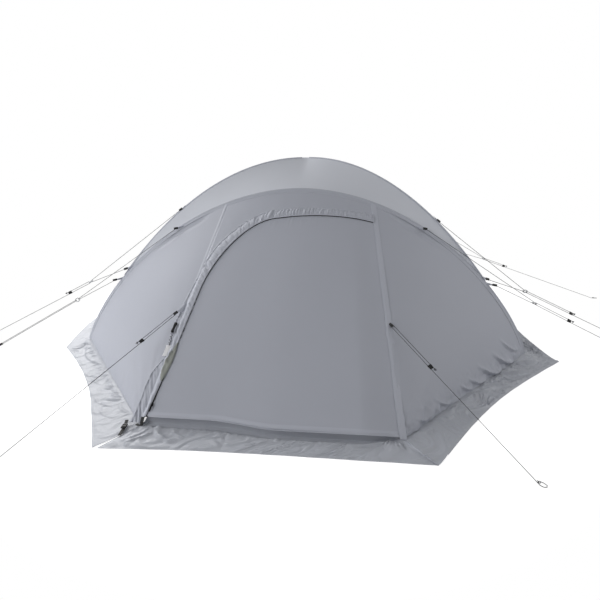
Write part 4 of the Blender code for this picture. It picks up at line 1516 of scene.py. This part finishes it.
def tie_patch(name, base, tip, seam, outward, root, face=1):
    """A patch of fly cloth that tapers from the seam, root metres wide, to the webbing loop at its tip. face
    is -1 where both lie on the inner face of their line. It returns the loop."""
    along = unit(tip - base)
    normal = unit(seam.cross(along))
    if normal.dot(outward) < 0:
        normal = -normal

    def place(u, v):
        width = mix(root, TIE_TIP, ease(u, 0.0, 0.85))
        fullness = 0.003 * math.sin(math.pi * v) * math.sin(math.pi * min(1.0, u + 0.2))
        return mix(base, tip, u) + seam * width * (v - 0.5) + normal * (0.003 + fullness) * face

    patch = cloth(name + "_patch", place, 12, 8, ((tip - base).length, root), normal, wall=0.001)
    finish_piece(patch, FINISHES["seam"], TENT)
    loop = block(name + "_loop", LOOP, 0.0016, 3)
    for vertex in loop.data.vertices:
        vertex.co.y *= 1 - 0.25 * abs(vertex.co.x) / LOOP[0]
    put(loop, tip + normal * 0.0035 * face, along, normal)
    finish_piece(loop, FINISHES["trim"], TENT)
    return loop


def make_single(name, side, end, height, reach, root, anchor, tension_at):
    radius = bpy.context.scene.tent_sizes.cord_diameter / 2
    ridge = mix(hem_corner(side, end), arch_line(side * RIDGE_TOP, end), height)
    stake = Vector((*anchor, radius))
    away = unit(stake - ridge)
    start = ridge + away * reach + Vector((0, 0, 0.004))
    along = unit(stake - start)
    square = unit(along.cross(Vector((side, 0, 0.3))))
    across = unit(square.cross(along))
    seam = unit(arch_line(side * RIDGE_TOP, end) - hem_corner(side, end))
    face = -1 if side > 0 > end else 1  # the open door comes close to the front right tie's outer face
    loop = tie_patch("tie_" + name, ridge, start - along * 0.006, seam, Vector((0, end, 1)), root, face)
    main_line(name, start, stake, tension_at, across, square, along)


def make_bridle(name, kind, side, end, ties, anchor, balance, reach, tension_at):
    """A bridle with its ring, and the line from the ring. An arch's upper tie is sewn in below the sleeve."""
    diameter = bpy.context.scene.tent_sizes.cord_diameter
    line = arch_line if kind == "arch" else roof_seam
    upper, lower = (line(side * t, end) for t in ties)
    seam = unit(upper - lower)
    lift = LONG_TIE_LIFT
    if kind == "arch":
        upper += unit(hem_corner(side, end) - upper) * TIE_DROP
        lift = ARCH_TIE_LIFT
    stake = Vector((*anchor, diameter / 2))
    middle = mix(upper, lower, balance)
    ring = mix(middle, stake, reach)
    along = unit(stake - ring)
    square = unit((upper - ring).cross(lower - ring))
    across = unit(square.cross(along))
    if across.dot(upper - ring) < 0:
        across, square = -across, -square
    centre = ring - along * RING_RADIUS
    turns = []
    for word, tie, turn in (("upper", upper, 1), ("lower", lower, -1)):
        lifted = tie + unit(ring - tie) * TIE_REACH + unit(tie) * lift
        heading = unit(lifted - centre)
        normal = square.cross(heading) * -turn
        if normal.dot(across) * turn < 0:
            normal = -normal
        turns.append((lifted, math.atan2(normal.dot(across), normal.dot(along))))
        root = tie + unit(tie) * 0.002
        tie_patch(f"tie_{name}_{word}", root, lifted, seam, unit(tie), TIE_ROOT)
    (top, first), (foot, last) = turns
    bend = [centre + along * TURN * math.cos(a) + across * TURN * math.sin(a) for a in even(9, first, last)]
    points = ruled(top, bend[0], 10)[:-1] + bend + ruled(bend[-1], foot, 10)[1:]
    bridle = tube("bridle_" + name + "_cord", points, diameter / 2, FINISHES["cord"])
    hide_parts("bridle_" + name)
    bpy.ops.object.select_all(action="DESELECT")
    bpy.ops.mesh.primitive_torus_add(
        major_radius=RING_RADIUS, minor_radius=RING_THICK, major_segments=36, minor_segments=12
    )
    hoop = bpy.context.object
    hoop.name = "hoop_" + name
    put_on_axes(hoop, ring, along, square, -across)
    if along.cross(square).dot(-across) < 0:
        hoop.data.flip_normals()
    finish_piece(hoop, FINISHES["ring"], TENT, ["ring_" + name])
    knots = [knot(f"bridle_knot_{name}_{k}", p, unit(ring - p), square) for k, p in enumerate((top, foot))]
    declare_cord(points, diameter)
    main_line(name, ring + along * RING_RADIUS, stake, tension_at, across, square, along)


# Operators


class MakeFly(bpy.types.Operator):
    """Lays the fly's taut panels over the poles."""

    bl_idname = "tent.make_fly"
    bl_label = "Fly panels"

    def execute(self, context):
        for end in (-1, 1):
            make_roof_gore(end)
            for side in (-1, 1):
                make_corner_panel(side, end)
        for side in (-1, 1):
            make_side_gore(side)
        make_brow()
        make_rear_panel()
        make_seams()
        return {"FINISHED"}


class MakeDoor(bpy.types.Operator):
    """Makes the door, its zip and slider, and the gathered flap over them."""

    bl_idname = "tent.make_door"
    bl_label = "Door, zip and flap"

    def execute(self, context):
        make_door()
        make_zip()
        make_slider()
        make_flap()
        make_toggle()
        return {"FINISHED"}


class MakeSkirts(bpy.types.Operator):
    """Lays the snow skirts round the hem."""

    bl_idname = "tent.make_skirts"
    bl_label = "Snow skirts"

    def execute(self, context):
        for side in SIDES:
            make_side_skirt(side)
        make_end_skirts()
        make_foot_straps()
        return {"FINISHED"}


class MakeInner(bpy.types.Operator):
    """Hangs the inner tent and lays its groundsheet."""

    bl_idname = "tent.make_inner"
    bl_label = "Inner tent"

    def execute(self, context):
        make_inner_canopy()
        make_inner_door()
        make_inner_trim()
        make_groundsheet()
        return {"FINISHED"}


class FinishPoles(bpy.types.Operator):
    """Gives the poles and foot straps their finishes."""

    bl_idname = "tent.finish_poles"
    bl_label = "Poles and straps"

    def execute(self, context):
        for name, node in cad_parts.items():
            if "pole" in name:
                node.data.materials.clear()
                node.data.materials.append(FINISHES["pole"])
                node.data.shade_smooth()
            if "foot_strap" in name:
                node.data.materials.clear()
                node.data.materials.append(FINISHES["trim"])
        return {"FINISHED"}


class MakeGuys(bpy.types.Operator):
    """Rigs the guy lines with their bridles, rings, runners and knots."""

    bl_idname = "tent.make_guys"
    bl_label = "Guy lines"

    def execute(self, context):
        for single in SINGLES:
            make_single(*single)
        for bridle in BRIDLES:
            make_bridle(*bridle)
        return {"FINISHED"}


# The stage

CAMERA_PLACE = (0.3239, -3.0281, 0.9925)
CAMERA_AZIMUTH = 7.0
CAMERA_PITCH = 16.15
CAMERA_ROLL = -0.68
CAMERA_LENS = 27.03
CAMERA_SENSOR = 36.0
LAMPS = (
    ("left_low", (-4.2, -1.6, 0.9), 2.0, 40.0),
    ("left_front", (-3.6, -3.6, 2.6), 3.0, 108.0),
    ("left_back", (-3.4, 3.2, 3.0), 3.0, 225.0),
    ("right", (4.3, -0.3, 3.0), 3.0, 66.0),
    ("right_front", (3.6, -3.6, 2.6), 3.0, 16.0),
)
LAMP_AIM = Vector((0, 0, 0.4))
AMBIENT = 0.12
FLOOR_SIZE = 60
FLOOR_DROP = 0.0008
FLOOR_GLOW = 0.75
SHADOW_ZONE = (1.45, 1.75)
ZONE_FADE = (1.03, 1.28)


def make_camera():
    data = bpy.data.cameras.new("photo_camera")
    data.lens = CAMERA_LENS
    data.sensor_width = CAMERA_SENSOR
    camera = bpy.data.objects.new("photo_camera", data)
    bpy.context.collection.objects.link(camera)
    azimuth, pitch, roll = (math.radians(a) for a in (CAMERA_AZIMUTH, CAMERA_PITCH, CAMERA_ROLL))
    back = Vector((math.sin(azimuth), -math.cos(azimuth), 0))
    forward = -back * math.cos(pitch) + Vector((0, 0, -math.sin(pitch)))
    right = Vector((math.cos(azimuth), math.sin(azimuth), 0))
    up = right.cross(forward)
    rolled_right = right * math.cos(roll) + up * math.sin(roll)
    rolled_up = up * math.cos(roll) - right * math.sin(roll)
    turn = camera.matrix_world.to_3x3()
    turn.col[0], turn.col[1], turn.col[2] = rolled_right, rolled_up, -forward
    camera.matrix_world = turn.to_4x4()
    camera.location = CAMERA_PLACE
    bpy.context.scene.camera = camera


def seen_rays(tree):
    """1 for the camera's rays and for those that something mirrors or passes, 0 for the rays that light."""
    ray = add(tree, "LightPath")
    straight = {0: ray.outputs["Is Camera Ray"], 1: ray.outputs["Is Transmission Ray"]}
    seen = add(tree, "Math", straight, operation="ADD")
    either = add(tree, "Math", {0: seen.outputs[0], 1: ray.outputs["Is Glossy Ray"]}, operation="MAXIMUM")
    return either.outputs[0]


def white_to_camera(tree, colour):
    """A floor that keeps the tent's shadow round its hem. The camera, and what mirrors or passes light, see
    it turn to plain white a little way off, so that thin cords stand out against it."""
    seen = seen_rays(tree)
    spot = add(tree, "TexCoord")
    zone = {"Vector": spot.outputs["Object"], "Scale": (1 / SHADOW_ZONE[0], 1 / SHADOW_ZONE[1], 1.0)}
    scaled = add(tree, "Mapping", zone)
    away = add(tree, "VectorMath", {0: scaled.outputs["Vector"]}, operation="LENGTH")
    fade = {"Value": away.outputs["Value"], "From Min": ZONE_FADE[0], "From Max": ZONE_FADE[1]}
    off = add(tree, "MapRange", fade)
    plain_part = add(tree, "Math", {0: seen, 1: off.outputs[0]}, operation="MULTIPLY")
    near_glow = add(tree, "Math", {0: seen, 1: FLOOR_GLOW}, operation="MULTIPLY")
    glow = add(tree, "Emission", {"Color": (1, 1, 1, 1), "Strength": near_glow.outputs[0]})
    matt = add(tree, "BsdfDiffuse", {"Color": (*colour, 1.0)})
    near = add(tree, "AddShader", {0: glow.outputs[0], 1: matt.outputs[0]})
    plain = add(tree, "Emission", {"Color": (1, 1, 1, 1), "Strength": 1.0})
    both = add(tree, "MixShader", {0: plain_part.outputs[0], 1: near.outputs[0], 2: plain.outputs[0]})
    return both.outputs[0]


def make_floor(colour):
    bpy.ops.object.select_all(action="DESELECT")
    bpy.ops.mesh.primitive_plane_add(size=FLOOR_SIZE, location=(0, 0, -FLOOR_DROP))
    floor = bpy.context.object
    floor.name = "studio_floor"
    bpy.ops.object.transform_apply(location=True)
    made = bpy.data.materials.new("matt studio floor")
    made.use_nodes = True
    tree = made.node_tree
    tree.nodes.clear()
    add(tree, "OutputMaterial", {"Surface": white_to_camera(tree, colour)})
    floor.data.materials.append(made)


def make_lamps():
    for name, place, size, power in LAMPS:
        data = bpy.data.lights.new("softbox_" + name, "AREA")
        data.size = size
        data.energy = power
        lamp = bpy.data.objects.new("softbox_" + name, data)
        bpy.context.collection.objects.link(lamp)
        lamp.location = place
        lamp.rotation_euler = (LAMP_AIM - Vector(place)).to_track_quat("-Z", "Y").to_euler()


def make_surround():
    """Plain white to look at, and a dim light on the tent."""
    world = bpy.data.worlds.new("studio")
    world.use_nodes = True
    tree = world.node_tree
    tree.nodes.clear()
    level = add(tree, "MapRange", {"Value": seen_rays(tree), "To Min": AMBIENT, "To Max": 1.0})
    sky = add(tree, "Background", {"Color": (1, 1, 1, 1), "Strength": level.outputs[0]})
    add(tree, "OutputWorld", {"Surface": sky.outputs[0]})
    bpy.context.scene.world = world


class MakeStage(bpy.types.Operator):
    """Sets the pale floor, the soft lamps, the white surround and the camera."""

    bl_idname = "tent.make_stage"
    bl_label = "Stage"

    def execute(self, context):
        make_floor(context.scene.tent_colours.floor)
        make_lamps()
        make_surround()
        context.scene.view_settings.view_transform = "Standard"
        make_camera()
        return {"FINISHED"}


class TentPanel(bpy.types.Panel):
    """The tent's tools in the sidebar."""

    bl_idname = "VIEW3D_PT_tent"
    bl_label = "Backpacking tent"
    bl_space_type = "VIEW_3D"
    bl_region_type = "UI"
    bl_category = "Tent"

    def draw(self, context):
        layout = self.layout
        for group in (context.scene.tent_sizes, context.scene.tent_colours):
            for key in group.__annotations__:
                layout.prop(group, key)
        for operator in STEPS:
            layout.operator(operator.bl_idname)


STEPS = (MakeFly, MakeDoor, MakeSkirts, MakeInner, FinishPoles, MakeGuys, MakeStage)
CLASSES = (TentSizes, TentColours, *STEPS, TentPanel)


def register():
    for made in CLASSES:
        bpy.utils.register_class(made)
    bpy.types.Scene.tent_sizes = bpy.props.PointerProperty(type=TentSizes)
    bpy.types.Scene.tent_colours = bpy.props.PointerProperty(type=TentColours)


def unregister():
    del bpy.types.Scene.tent_colours
    del bpy.types.Scene.tent_sizes
    for made in reversed(CLASSES):
        bpy.utils.unregister_class(made)


def main():
    register()
    make_finishes(bpy.context.scene.tent_colours)
    bpy.ops.tent.make_stage()
    bpy.ops.tent.make_guys()
    bpy.ops.tent.make_fly()
    bpy.ops.tent.make_door()
    bpy.ops.tent.make_skirts()
    bpy.ops.tent.make_inner()
    bpy.ops.tent.finish_poles()


if __name__ == "__main__":
    main()
